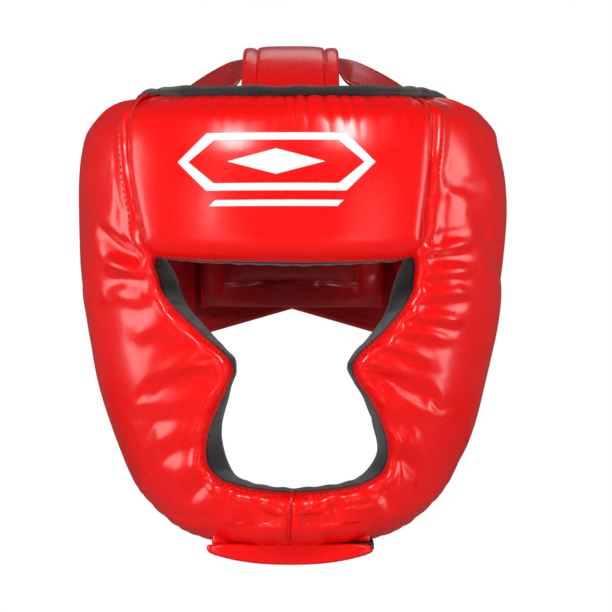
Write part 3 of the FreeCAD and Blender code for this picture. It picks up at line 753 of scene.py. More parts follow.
class Wardrobe:
    """Every finish of the headgear, made once."""

    def __init__(self) -> None:
        """Build the shared groups, then each material."""
        Groups.build()
        self.cover = GlossLeather("CoverLeather", (0.84, 0.0016, 0.0016), (0.88, 0.0028, 0.0026)).build()
        # The strap leather is the cover's red leather made darker. The darkness is painted shade for the shadow
        # inside the shell, and every piece that uses it carries it: cross straps, crown tail, tongue and
        # spacer, rear pad, wings and chin cup.
        self.strap = GlossLeather(
            "StrapLeather", (0.46, 0.003, 0.005), (0.56, 0.006, 0.008), rough=(0.32, 0.40), grain=0.1
        ).build()
        self.welt = GlossLeather(
            "WeltLeather", (0.55, 0.004, 0.006), (0.66, 0.008, 0.010), rough=(0.35, 0.5), coat=0.15
        ).build()
        self.tape = WovenTape("BindingTape", (0.008, 0.008, 0.009), (0.030, 0.030, 0.033)).build()
        self.lining = WovenTape(
            "LiningCloth", (0.006, 0.006, 0.007), (0.022, 0.022, 0.025), along=1900.0, across=1900.0, depth=0.35
        ).build()
        self.pile = Pile("HookAndLoop", (0.035, 0.035, 0.037), (0.005, 0.005, 0.005)).build()
        self.ink = Ink("WhiteInk", (0.86, 0.86, 0.86), (0.93, 0.93, 0.93)).build()
        self.red_thread = Thread("RedThread", (0.30, 0.003, 0.005), (0.46, 0.006, 0.008)).build()
        self.black_thread = Thread("BlackThread", (0.008, 0.008, 0.009), (0.03, 0.03, 0.032)).build()


class Dresser:
    """Gives a finished piece its material, its body and the nodes it stands for."""

    def __init__(self, wardrobe: Wardrobe) -> None:
        """Keep the finishes and start the list of pieces."""
        self.wardrobe = wardrobe
        self.pieces: list[str] = []

    def dress(
        self,
        shape: Shape,
        name: str,
        material: bpy.types.Material,
        body: str = "shell",
        stands_for: tuple[str, ...] = (),
    ) -> None:
        """Make and dress one piece.

        Args:
            shape: its shape.
            name: its name.
            material: its finish.
            body: the body it rides on.
            stands_for: CAD nodes it replaces.
        """
        piece = shape.mesh(name)
        piece.data.materials.append(material)
        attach(piece, body)
        if stands_for:
            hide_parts(*stands_for)
        self.pieces.append(piece.name)
        LOG.info("%s: %d faces on %s", piece.name, len(piece.data.polygons), body)


# ---------------------------------------------------------------- the rim


@dataclass(frozen=True)
class Rim:
    """The shell's top edge: its heights, how far it is drawn in, and its gathers.

    edge and tape hold bearing and height knots of the pads' top edge and of the
    tape along it. radius turns a bearing into a distance, pitch is the gathers'
    usual pitch, and gather is how high they stand on the edge.
    """

    edge: tuple[tuple[float, float], ...] = (
        (0, 103.6), (20, 104.2), (34, 105.4), (44, 106.8), (58, 107.2), (78, 107.2), (96, 104.0), (108, 97.0),
        (119, 86.5),
    )
    tape: tuple[tuple[float, float], ...] = (
        (0, 107.9), (20, 108.6), (34, 109.2), (44, 110.0), (58, 110.8), (78, 110.4), (96, 106.2), (108, 99.4),
        (119, 89.0),
    )
    radius: float = 112.0
    pitch: float = 8.8
    gather: float = 2.3

    def along(self, bearing: Array) -> Array:
        """Distance along the rim from the middle of the front."""
        return np.radians(bearing) * self.radius

    def lobes(self, bearing: Array) -> Array:
        """Gathers, 0 to 1: rounded lobes of uneven pitch, fuller on the right of the front."""
        run = self.along(bearing)
        phase = run / self.pitch + 0.35 * np.sin(run / 15.0) + 0.22 * np.sin(run / 5.3)
        full = 0.5 + 0.3 * np.sin(run / 23.0 + 0.6) + 0.2 * np.sin(run / 9.0)
        return np.abs(np.cos(math.pi * phase)) ** 0.8 * full

    @staticmethod
    def read(knots: tuple[tuple[float, float], ...], bearing: Array) -> Array:
        """Smooth spans between knots, alike on both sides."""
        table = np.array(knots)
        spots = np.interp(np.abs(bearing).ravel(), table[:, 0], np.linspace(0, 1, len(table)))
        return curve_through(table, spots)[:, 1].reshape(np.shape(bearing))

    def height(self, bearing: Array) -> Array:
        """Height of the pads' top edge, with the lobes on it."""
        return self.read(self.edge, bearing) + self.gather * self.lobes(bearing)

    def drop(self, bearing: Array) -> Array:
        """How far the pads' top edge lies inside the shell's form: more at the sides."""
        return 7.4 + 13.6 * ease(np.abs(bearing), 32, 60) - 5.0 * ease(np.abs(bearing), 96, 116)

    def pucker(self, bearing: Array, below: Array) -> Array:
        """How the gathers lift the cover at a distance below the edge: they fade over 6 mm."""
        return (2.7 * self.lobes(bearing) - 1.1) * np.exp(-below / 6.0)


RIM = Rim()


def level_in(out: Array) -> Array:
    """Level directions into the head, against outward ones."""
    return -unit(out * LEVEL)


# ---------------------------------------------------------------- forehead

# Lines seen from the front, as across and height: the forehead pad's two seams
# and its lower edge.
LEFT_SEAM = np.array([
    (-74.7, 22.8), (-78.5, 31.2), (-82.4, 49.6), (-85.9, 68.3), (-87.9, 84.5), (-88.3, 95.4),
    (-87.3, 103.0),
])
RIGHT_SEAM = np.array([
    (66.5, 22.7), (70.4, 31.1), (71.6, 46.0), (74.1, 65.1), (76.3, 83.8), (77.0, 93.0),
    (76.0, 103.0),
])
BROW = np.array([
    (-76.0, 22.8), (-68.7, 21.7), (-46.4, 19.9), (-20.5, 19.3), (7.8, 18.8), (36.1, 19.4),
    (57.0, 20.5), (68.0, 22.7),
])


@dataclass
class Forehead:
    """The smooth forehead pad and the mark printed on it."""

    rows: int = 90
    cols: int = 170
    brow_radius: float = 13.0
    brow_depth: float = 13.0
    rim_radius: float = 13.0
    seam_radius: float = 9.0
    seam_depth: float = 4.2
    print_height: float = 71.0
    print_middle: float = -7.0
    hexagon: Array = field(default_factory=lambda: np.array(
        [(-51, 0), (-36, 15), (36, 15), (51, 0), (36, -15), (-36, -15), (-51, 0)], float
    ))
    hexagon_hole: Array = field(default_factory=lambda: np.array([45.4 / 51, 11.2 / 15]))

    def limits(self, height: Array) -> tuple[Array, Array]:
        """The panel's left and right edges at a height."""
        return tuple(np.interp(height, seam[:, 1], seam[:, 0]) for seam in (LEFT_SEAM, RIGHT_SEAM))

    def skin(self, across: Array, height: Array) -> Array:
        """Cover surface at places given from the front.

        The form's surface, lowered by a quarter oval at each edge, with gathers
        near the rim and a slight overall crown. The seams' edges fall along the
        normal, the brow straight back and the rim level into the head.

        Args:
            across: places across, negative to the left.
            height: their heights.

        Returns:
            Points.
        """
        bearing = FORM.bearing_at(across, height)
        left, right = self.limits(height)
        brow = np.interp(across, *BROW.T)
        rim = RIM.height(bearing)
        turned = 1.0 / np.maximum(np.cos(np.radians(bearing)), 0.3)
        to_left, to_right = (across - left) * turned, (right - across) * turned
        to_brow, to_rim = height - brow, rim - height
        falls = [
            roll(to_left, self.seam_radius, self.seam_depth),
            roll(to_right, self.seam_radius, self.seam_depth),
            roll(to_brow, self.brow_radius, self.brow_depth),
            roll(to_rim, self.rim_radius, RIM.drop(bearing)),
        ]
        fall = np.sum([part**3 for part in falls], axis=0) ** (1 / 3)
        gathers = RIM.pucker(bearing, np.clip(to_rim, 0, 99))
        crown = 2.0 * np.sin(math.pi * np.clip((height - 18) / 88, 0, 1)) - 1.6
        normal = FORM.outward(bearing, height)
        back, over = ((falls[at] / np.maximum(fall, 1e-6)) ** 3 for at in (2, 3))
        sink = -normal + (BACKWARDS + normal) * back[..., None]
        sink = sink + (level_in(normal) + normal) * over[..., None]
        return FORM.outer(bearing, height) + normal * (crown + gathers)[..., None] + sink * fall[..., None]

    def places(self) -> tuple[Array, Array]:
        """Across and height of every grid point, close together at the edges."""
        down = edge_steps(np.array([100.0]), 16.0, 15.0, 16, self.rows - 32)[0] / 100.0
        side = edge_steps(np.array([100.0]), 6.0, 6.0, 10, self.cols - 20)[0] / 100.0
        left_edge = curve_through(LEFT_SEAM, down)
        right_edge = curve_through(RIGHT_SEAM, down)
        across = left_edge[:, :1] + (right_edge[:, :1] - left_edge[:, :1]) * side[None]
        brow = np.interp(across[:1], *BROW.T)
        base = left_edge[:, 1:] + (right_edge[:, 1:] - left_edge[:, 1:]) * side[None]
        part = (base - base[:1]) / (base[-1:] - base[:1])
        top = RIM.height(FORM.bearing_at(across[-1:], np.full_like(across[-1:], 103.0)))
        return across, brow + (top - brow) * part

    def build(self, dresser: Dresser) -> Array:
        """Make the pad, its lining and its print, and return the cover's grid."""
        across, height = self.places()
        front = self.skin(across, height)
        back_bearing = FORM.inner_bearing_at(across * 0.93, height)
        back = FORM.inner(back_bearing, height, gap=3.0)
        dresser.dress(
            Shape.slab(front, back).turned_out(), "forehead_pad", dresser.wardrobe.cover,
            stands_for=("forehead_cover", "forehead_foam"),
        )
        lining = FORM.inner(back_bearing, height, gap=0.0)
        inner = FORM.inner(back_bearing, height, gap=2.9)
        dresser.dress(
            Shape.slab(inner[::3, ::3], lining[::3, ::3]).turned_out(), "forehead_lining_cloth",
            dresser.wardrobe.lining, stands_for=("forehead_lining",),
        )
        self.build_print(dresser)
        return front

    def film(self, across: Array, height: Array) -> Shape:
        """A thin film on the cover at the given places, closed behind."""
        skin = self.skin(across + self.print_middle, height)
        normal = facing_normals(skin, -BACKWARDS)
        return Shape.slab(skin + 0.28 * normal, skin - 0.1 * normal).turned_out()

    def build_print(self, dresser: Dresser) -> None:
        """Print a flat hexagon line, a lozenge inside it and a bar below it."""
        middle = self.print_height
        along = run_along(self.hexagon)
        want = np.unique(np.concatenate([np.linspace(0, along[-1], 240), along]))
        outer = read_line(self.hexagon, along, want)
        part = np.linspace(0, 1, 7)[None, :, None]
        ring = outer[:, None] * (1 - part * (1 - self.hexagon_hole))
        side, rise = np.meshgrid(np.linspace(-1, 1, 61), np.linspace(-1, 1, 25), indexing="ij")
        half = np.maximum(1 - np.abs(side), 0.004)
        wide, high = np.meshgrid(np.linspace(-1, 1, 81), np.linspace(-1, 1, 7), indexing="ij")
        for mark, across, height in (
            ("hexagon", ring[..., 0], ring[..., 1] + middle),
            ("lozenge", 25 * side, middle + 6.6 * half * rise),
            ("bar", 33 * wide + 1.6 * high, middle - 21.4 + 1.6 * high),
        ):
            dresser.dress(
                self.film(across, height), f"forehead_print_{mark}", dresser.wardrobe.ink,
                stands_for=(f"print_{mark}",),
            )


# ---------------------------------------------------------------- side panels


class Side(Enum):
    """The two sides, as somebody in front sees them."""

    LEFT = -1
    RIGHT = 1


# One row per place down a panel: the front edge as across and height, then the
# rear or lower edge as bearing and height. The right panel comes first.
RIGHT_ROWS = np.array([
    (76.0, 103.0, 118.0, 86.5), (77.0, 93.0, 119.6, 76.0), (74.1, 65.1, 120.0, 58.0),
    (71.6, 46.0, 120.0, 42.0), (70.4, 31.1, 120.0, 28.0), (66.5, 22.7, 120.0, 20.0),
    (64.9, 12.8, 120.2, 11.0), (63.9, 5.0, 120.3, 3.0), (60.2, -2.8, 120.5, -6.0),
    (53.9, -11.1, 120.6, -16.0), (45.5, -19.9, 120.2, -27.0), (37.2, -27.1, 119.0, -38.0),
    (32.9, -33.0, 116.4, -51.0), (32.9, -37.8, 112.5, -64.0), (35.2, -43.2, 107.5, -76.0),
    (40.4, -50.5, 102.0, -86.0), (45.2, -58.9, 95.5, -96.0), (48.9, -67.9, 88.5, -105.0),
    (51.1, -76.9, 81.0, -113.0), (51.2, -83.8, 73.5, -119.5), (48.6, -90.2, 65.5, -123.5),
    (42.8, -94.7, 56.0, -126.6), (31.2, -98.0, 42.0, -128.4), (16.6, -99.8, 22.0, -129.4),
    (0.9, -100.7, -0.8, -129.0),
])
LEFT_ROWS = np.array([
    (-87.3, 103.0, 118.0, 86.5), (-88.3, 93.0, 119.6, 76.0), (-85.9, 65.1, 120.0, 58.0),
    (-82.0, 46.0, 120.0, 42.0), (-78.5, 31.1, 120.0, 28.0), (-73.0, 22.2, 120.0, 20.0),
    (-69.3, 12.8, 120.2, 11.0), (-67.3, 5.0, 120.3, 3.0), (-62.3, -1.8, 120.5, -6.0),
    (-54.4, -9.8, 120.6, -16.0), (-45.0, -18.5, 120.2, -27.0), (-36.1, -26.2, 119.0, -38.0),
    (-30.6, -32.4, 116.4, -51.0), (-29.4, -37.0, 112.5, -64.0), (-31.5, -43.6, 107.5, -76.0),
    (-35.2, -52.0, 102.0, -86.0), (-40.0, -62.5, 95.5, -96.0), (-43.0, -71.5, 88.5, -105.0),
    (-44.0, -79.5, 81.0, -113.0), (-42.9, -86.8, 73.5, -119.5), (-38.1, -92.9, 65.5, -123.5),
    (-28.6, -96.8, 56.0, -126.6), (-20.0, -98.6, 42.0, -128.4), (-9.0, -100.0, 22.0, -129.4),
    (0.9, -100.7, 0.8, -129.0),
])

# The opening's inner edge on the head's own oval, one place for each row above,
# as across and height.
RIGHT_INNER = np.array([
    (70.7, 103.0), (71.6, 93.0), (68.9, 65.1), (66.6, 46.0), (65.5, 31.1), (60.6, 22.6),
    (56.3, 12.4), (54.0, 5.0), (52.0, -3.0), (48.3, -10.2), (42.5, -18.5), (35.6, -26.3),
    (31.2, -33.0), (31.0, -38.2), (33.2, -43.0), (38.4, -50.8), (41.6, -59.3), (44.2, -67.7),
    (46.2, -76.0), (45.4, -83.0), (42.0, -89.0), (37.0, -94.0), (29.5, -97.5), (16.0, -99.6),
    (0.9, -100.9),
])
LEFT_INNER = np.array([
    (-81.2, 103.0), (-82.1, 93.0), (-79.9, 65.1), (-76.3, 46.0), (-73.0, 31.1), (-66.5, 22.2),
    (-60.5, 12.5), (-58.5, 5.0), (-55.5, -2.0), (-49.5, -9.0), (-42.0, -17.5), (-34.5, -25.5),
    (-29.7, -32.5), (-29.3, -38.0), (-30.3, -42.4), (-32.6, -51.5), (-35.2, -61.5), (-36.1, -71.0),
    (-35.2, -79.5), (-33.0, -86.5), (-29.0, -93.0), (-23.0, -96.2), (-17.0, -98.3), (-8.5, -99.9),
    (0.9, -100.9),
])
EYE_CORNER = 5 / (len(RIGHT_ROWS) - 1)  # the eye corner's place down a panel

RIGHT_FOLDS = (
    Fold((37, 24), (56, 30), 3.2, 1.7, 1.0),
    Fold((37, 13), (58, 17), 3.6, 2.0, -1.0),
    Fold((36, 2), (56, 4), 3.4, 1.9, 1.5),
    Fold((34, -8), (54, -10), 3.2, 1.8, -1.0),
    Fold((31, -16), (49, -21), 3.0, 1.6, 1.0),
    Fold((26, -23), (42, -31), 3.0, 1.3, 0.5),
    Fold((22, -31), (36, -41), 3.4, 1.2, 1.0),
    Fold((20, -44), (38, -50), 4.6, -0.9, 2.0),
    Fold((27, -62), (46, -66), 5.0, -0.8, -2.0),
    Fold((30, -84), (52, -93), 4.6, -1.3, 3.0),
    Fold((26, -97), (44, -112), 4.2, -1.2, 2.0),
    Fold((14, -101), (20, -116), 3.0, -0.9, 0.5),
    Fold((7, -101), (9, -113), 2.6, -0.7, 0.3),
    Fold((44, 60), (58, 58), 4.0, -0.7, 1.0),
)
LEFT_FOLDS = (
    Fold((-42, 20), (-64, 42), 4.4, -2.4, 2.0),
    Fold((-41, 12), (-60, 20), 4.2, 1.8, -1.0),
    Fold((-40, 3), (-58, 4), 4.6, 1.4, 1.0),
    Fold((-33, -12), (-50, -20), 5.0, 1.2, -1.5),
    Fold((-24, -25), (-40, -42), 5.0, 1.0, 1.0),
    Fold((-20, -42), (-40, -46), 5.0, -0.8, -2.0),
    Fold((-24, -60), (-52, -60), 6.0, -1.0, 5.0),
    Fold((-27, -76), (-50, -88), 5.0, -1.5, -3.0),
    Fold((-27, -90), (-44, -106), 4.2, -1.4, 2.0),
    Fold((-20, -97), (-29, -116), 3.4, -1.1, 1.0),
    Fold((-10, -100), (-13, -114), 3.0, -0.8, 0.4),
)


def puffed(
    name: str, front: Array, out: Array, pressure: float, slack: float, cap: float, step: int = 3
) -> Array:
    """Fill a pad: run its cover as cloth under pressure, with its edges sewn down.

    Every few rows and columns of the cover make a coarse cloth. It may grow by
    the slack, so it wrinkles beside its sewn edges. What each point moved is
    limited, spread back over the full grid and smoothed.

    Args:
        name: name of the cloth while it runs.
        front: the cover's grid.
        out: outward directions of the grid.
        pressure: pressure under the cover.
        slack: share that the cloth may grow.
        cap: furthest that a point may move.
        step: rows and columns of the cover for each of the cloth.

    Returns:
        The filled grid.
    """
    rows = np.unique(np.append(np.arange(0, front.shape[0], step), front.shape[0] - 1))
    cols = np.unique(np.append(np.arange(0, front.shape[1], step), front.shape[1] - 1))
    coarse = front[np.ix_(rows, cols)]
    shape = Shape.sheet(coarse)
    if np.sum(grid_normals(coarse) * out[np.ix_(rows, cols)]) < 0:
        shape.quads = shape.quads[:, ::-1]
    piece = shape.mesh(name)
    edge = np.ones(coarse.shape[:2], bool)
    edge[SEWN_EDGE:-SEWN_EDGE, SEWN_EDGE:-SEWN_EDGE] = False
    piece.vertex_groups.new(name="sewn").add(np.flatnonzero(edge.ravel()).tolist(), 1.0, "REPLACE")
    cloth = piece.modifiers.new("Fill", "CLOTH")
    values = cloth.settings
    values.quality = 6
    values.mass = 0.2
    values.tension_stiffness = 15
    values.compression_stiffness = 15
    values.shear_stiffness = 5
    values.bending_stiffness = 0.6
    values.use_pressure = True
    values.uniform_pressure_force = pressure
    values.vertex_group_mass = "sewn"
    values.shrink_min = -slack
    values.effector_weights.gravity = 0.0
    cloth.collision_settings.use_collision = False
    for tick in range(1, CLOTH_TICKS + 1):
        bpy.context.scene.frame_set(tick)
    done = piece.evaluated_get(bpy.context.evaluated_depsgraph_get()).data
    places = np.empty(3 * len(done.vertices), np.float32)
    done.vertices.foreach_get("co", places)
    moved = places.reshape(coarse.shape).astype(float) * 1000 - coarse
    data = piece.data
    bpy.data.objects.remove(piece)
    bpy.data.meshes.remove(data)
    bpy.context.scene.frame_set(1)
    reach = np.linalg.norm(moved, axis=2, keepdims=True)
    moved = moved / np.maximum(reach, 1e-9) * cap * np.tanh(reach / cap)
    down = np.interp(np.arange(front.shape[0]), rows, np.arange(len(rows)))
    across = np.interp(np.arange(front.shape[1]), cols, np.arange(len(cols)))
    spread = bilinear(moved, *np.meshgrid(down, across, indexing="ij"))
    for _ in range(4):
        spread[1:-1] = 0.25 * spread[:-2] + 0.5 * spread[1:-1] + 0.25 * spread[2:]
        spread[:, 1:-1] = 0.25 * spread[:, :-2] + 0.5 * spread[:, 1:-1] + 0.25 * spread[:, 2:]
    LOG.info("%s: filled, moved up to %.1f mm", name, float(reach.max()))
    return front + spread


@dataclass(frozen=True)
class EarHole:
    """The round hole over each ear, along X."""

    fore: float = 8.0
    height: float = -12.0
    clear: float = 14.0
    dish: float = 15.5
    reach: float = 15.0
    depth: float = 8.0

    def distance(self, points: Array) -> Array:
        """Distance of points from the hole's axis."""
        return np.hypot(points[..., 1] - self.fore, points[..., 2] - self.height)

    def fall(self, points: Array) -> Array:
        """How far the cover sinks round the hole: a quarter oval."""
        return roll(np.maximum(self.distance(points) - self.dish, 0), self.reach, self.depth)

    def pierce(self, shape: Shape) -> Shape:
        """Cut the hole through a shape and draw the cut's points onto its circle."""
        off = shape.points[:, 1:] - np.array([self.fore, self.height])
        middle = shape.points[shape.quads].mean(axis=1)
        gone = (self.distance(middle) < self.dish) & (np.abs(middle[:, 0]) > 50)
        kept = shape.quads[~gone]
        rim = np.intersect1d(shape.quads[gone].ravel(), kept.ravel())
        points = shape.points.copy()
        points[rim, 1:] = np.array([self.fore, self.height]) + unit(off[rim]) * self.dish
        used, numbers = np.unique(kept, return_inverse=True)
        pattern = None if shape.pattern is None else shape.pattern[used]
        return Shape(points[used], numbers.reshape(kept.shape), pattern)

    def tape(self, side: "Side") -> Shape:
        """Tape through the hole: a lip on the cover, a straight tube and a lip on the lining.

        The profile is a closed line of radius and share of the depth, carried
        round the hole and laid on the form's own depth at each place.
        """
        profile = [
            (21.5, 0, 0.3), (19.0, 0, 0.9), (17.0, 0, 0.9), (15.2, 0, -0.2), (14.2, 0, -3.5), (14.0, 0, -8.0),
            (14.0, 1, 8.0), (14.2, 1, 2.5), (15.2, 1, 0.0), (17.0, 1, -0.8), (19.5, 1, -0.6), (19.5, 1, 1.2),
            (16.0, 1, 3.5), (15.3, 1, 8.0), (15.3, 0, -9.0), (16.2, 0, -4.5), (19.0, 0, -1.2), (21.5, 0, -0.8),
        ]
        turn = np.linspace(0, 2 * math.pi, 72, endpoint=False)[:, None]
        radius, inner, proud = (np.array(part)[None] for part in zip(*profile))
        fore = self.fore + radius * np.cos(turn)
        height = self.height + radius * np.sin(turn)
        wide, front, back, small, long = FORM.row(height)
        middle, deep = 0.5 * (back - front), 0.5 * (back + front)
        outside = wide * np.sqrt(1 - ((fore - middle) / deep) ** 2)
        sunk = roll(np.maximum(radius - self.dish, 0), self.reach, self.depth)
        inside = small * np.sqrt(1 - (fore / long) ** 2)
        across = np.where(inner > 0.5, inside + proud, outside - sunk + proud)
        ripple = 0.18 * np.sin(turn * 46) * (np.abs(proud) < 1)
        return Shape.sheet(
            np.stack([side.value * (across + ripple), fore, height], axis=2), wrap_rows=True, wrap_cols=True
        ).turned_out()


EAR = EarHole()


@dataclass
class SidePanel:
    """One cheek, jaw and ear panel with its lining."""

    side: Side
    rows: int = 300
    fine: int = 12
    middle: int = 136
    face_radius: float = 14.0
    face_depth: float = 14.0
    seam_depth: float = 4.6
    rear_radius: float = 19.0
    rear_depth: float = 15.0
    jaw_depth: float = 17.0
    chin_radius: float = 7.0
    chin_depth: float = 2.6
    quilt_radius: float = 84.0
    quilt_pitch: float = 34.0

    @property
    def name(self) -> str:
        """left or right."""
        return self.side.name.lower()

    def edges(self) -> tuple[Array, Array, Array]:
        """Front edge, rear edge and the opening's inner edge, row by row, as bearing and height."""
        knots = RIGHT_ROWS if self.side is Side.RIGHT else LEFT_ROWS
        inner = curve_through(RIGHT_INNER if self.side is Side.RIGHT else LEFT_INNER, self.rows)
        front = curve_through(knots[:, :2], self.rows)
        rear = curve_through(knots[:, 2:], self.rows) * np.array([self.side.value, 1])
        front[:, 0] = FORM.bearing_at(front[:, 0], front[:, 1])
        inner[:, 0] = FORM.inner_bearing_at(inner[:, 0], inner[:, 1])
        return front, rear, inner

    def places(self) -> tuple[Array, Array, Array]:
        """Bearing and height of every grid point, and the distance along its row."""
        front, rear, _ = self.edges()
        row = np.linspace(0, 1, self.rows)[:, None]

        def spot(share: Array) -> tuple[Array, Array]:
            """Bearing and height at a share of each row, the upper rows bent along the rim."""
            bearing = front[:, :1] + (rear[:, :1] - front[:, :1]) * share
            height = front[:, 1:] + (rear[:, 1:] - front[:, 1:]) * share
            level = front[:1, 1:] + (rear[:1, 1:] - front[:1, 1:]) * share
            return bearing, height + (RIM.height(bearing) - level) * (1 - ease(row, 0.0, 0.22))

        dense = FORM.outer(*spot(np.broadcast_to(np.linspace(0, 1, 60)[None], (self.rows, 60))))
        length = np.linalg.norm(np.diff(dense, axis=1), axis=2).sum(axis=1)
        steps = edge_steps(length, self.face_radius, self.rear_radius, self.fine, self.middle)
        bearing, height = spot(steps / length[:, None])
        return bearing, height, steps

    def skin(self) -> tuple[Array, Array, Array, Array]:
        """Cover surface: the form, lowered at every edge by its own quarter oval, plus folds.

        Returns:
            Points, bearings, heights and each place's share of its row.
        """
        bearing, height, along = self.places()
        base = FORM.outer(bearing, height)
        length = along[:, -1:]
        run_down = np.linalg.norm(np.diff(base, axis=0, prepend=base[:1]), axis=2)
        down = np.cumsum(run_down, axis=0)
        up = down[-1:] - down
        row = np.linspace(0, 1, self.rows)[:, None]
        opening = ease(row, 0.17, 0.235)
        chin = ease(row, 0.72, 0.95)
        front_depth = self.seam_depth + (self.face_depth - self.seam_depth) * opening
        front_reach = np.minimum(9.0 + (self.face_radius - 9.0) * opening, 0.42 * length)
        rear_reach = np.minimum(self.rear_radius, 0.42 * length)
        rear_depth = self.rear_depth + (self.jaw_depth - self.rear_depth) * ease(row, 0.4, 0.6) - 2.5 * chin
        rim_reach = 15.0 + 7.0 * ease(np.abs(bearing), 45, 70)
        falls = [
            roll(along, front_reach, front_depth),
            roll(length - along, rear_reach, rear_depth),
            roll(down, rim_reach, RIM.drop(bearing)),
            roll(up, self.chin_radius, self.chin_depth),
            EAR.fall(base),
        ]
        fall = np.sum([part**3 for part in falls], axis=0) ** (1 / 3)
        folds = RIGHT_FOLDS if self.side is Side.RIGHT else LEFT_FOLDS
        lift = np.sum([fold.lift(bearing, height) for fold in folds], axis=0)
        run = np.radians(np.abs(bearing)) * HEAD_RUN
        smooth = 1.0 if self.side is Side.RIGHT else 0.45
        seam_run = np.cumsum(run_down[:, :1], axis=0)
        pucker_seam = 0.3 * np.sin(seam_run / 2.1 + 2.9 * np.sin(row * 37)) * np.sin(row * 61)
        pucker_seam = pucker_seam * np.exp(-along / 8.0)
        pucker_rim = RIM.pucker(bearing, down)
        pucker_jaw = 0.5 * np.sin(row * 210 + 2 * np.sin(row * 51)) * np.exp(-(length - along) / 10.0)
        broad = 1.1 * smooth * np.sin(run / 19.0 + height / 23.0)
        broad = broad * np.sin(height / 17.0 - run / 31.0 + self.side.value)
        broad = broad * ease(along, 8, 40) * ease(length - along, 8, 40)
        lift = lift * ease(along, 0, 5) + pucker_seam + pucker_rim + pucker_jaw + broad
        out = FORM.outward(bearing, height)
        back = (falls[0] / np.maximum(fall, 1e-6)) ** 3 * opening
        level = (falls[1] ** 3 + falls[2] ** 3) / np.maximum(fall, 1e-6) ** 3
        sink = -out + (BACKWARDS + out) * back[..., None] + (level_in(out) + out) * level[..., None]
        allowance = 2.6 * ease(along, 2, 16) * ease(length - along, 2, 16)
        allowance = allowance * ease(down, 2, 16) * ease(up, 2, 12)
        skin = base + out * (lift - allowance)[..., None] + sink * fall[..., None]
        slack = 0.030 if self.side is Side.RIGHT else 0.012
        front = puffed(f"{self.name}_cloth", skin, out, 3.0, slack, 3.6)
        return front, bearing, height, along / length

    def lining(self, bearing: Array, height: Array, share: Array, gap: Array | float) -> Array:
        """Surface near the head: the head's oval at a gap, drawn to the opening's inner edge."""
        front, _, inner = self.edges()
        pull = (1 - share) ** 2
        place = bearing + (inner[:, :1] - front[:, :1]) * pull
        level = np.clip(height + (inner[:, 1:] - front[:, 1:]) * pull, -127.6, 200)
        return FORM.inner(place, level, gap)

    def build(self, dresser: Dresser) -> Array:
        """Make the pad, its lining and its ear tape, and return the cover's grid."""
        front, bearing, height, share = self.skin()
        pad = Shape.slab(front, self.lining(bearing, height, share, 3.0)).turned_out()
        dresser.dress(
            EAR.pierce(pad), f"{self.name}_side_pad", dresser.wardrobe.cover,
            stands_for=(f"{self.name}_side_cover", f"{self.name}_side_foam"),
        )
        run = np.radians(bearing) * self.quilt_radius
        quilt = np.abs(np.sin(math.pi * (run + height) / self.quilt_pitch))
        quilt = quilt * np.abs(np.sin(math.pi * (run - height) / self.quilt_pitch))
        near = self.lining(bearing, height, share, 0.6 - 1.4 * np.sqrt(quilt))
        far = self.lining(bearing, height, share, 2.9)
        cloth = Shape.slab(far[::3, ::3], near[::3, ::3]).turned_out()
        dresser.dress(
            EAR.pierce(cloth), f"{self.name}_side_lining_cloth", dresser.wardrobe.lining,
            stands_for=(f"{self.name}_side_lining",),
        )
        dresser.dress(
            EAR.tape(self.side), f"{self.name}_ear_tape", dresser.wardrobe.tape,
            stands_for=(f"{self.name}_ear_binding",),
        )
        return front


def corded(path: Array, up: Array, width: float, pitch: float = 2.4) -> Shape:
    """A twisted cord: a circle whose radius swells along a helix of the given pitch."""
    along = run_along(path)
    turn = np.linspace(0, 2 * math.pi, 12, endpoint=False)
    swell = 1 + 0.09 * np.sin(turn[None] + along[:, None] * 2 * math.pi / pitch)
    radius = 0.5 * width * swell
    return tube(path, up, np.stack([radius * np.cos(turn), radius * np.sin(turn)], axis=2))


def evenly(path: Array, pitch: float) -> Array:
    """The same line with its points an even pitch apart."""
    along = run_along(path)
    return read_line(path, along, np.linspace(0, along[-1], max(4, int(along[-1] / pitch))))


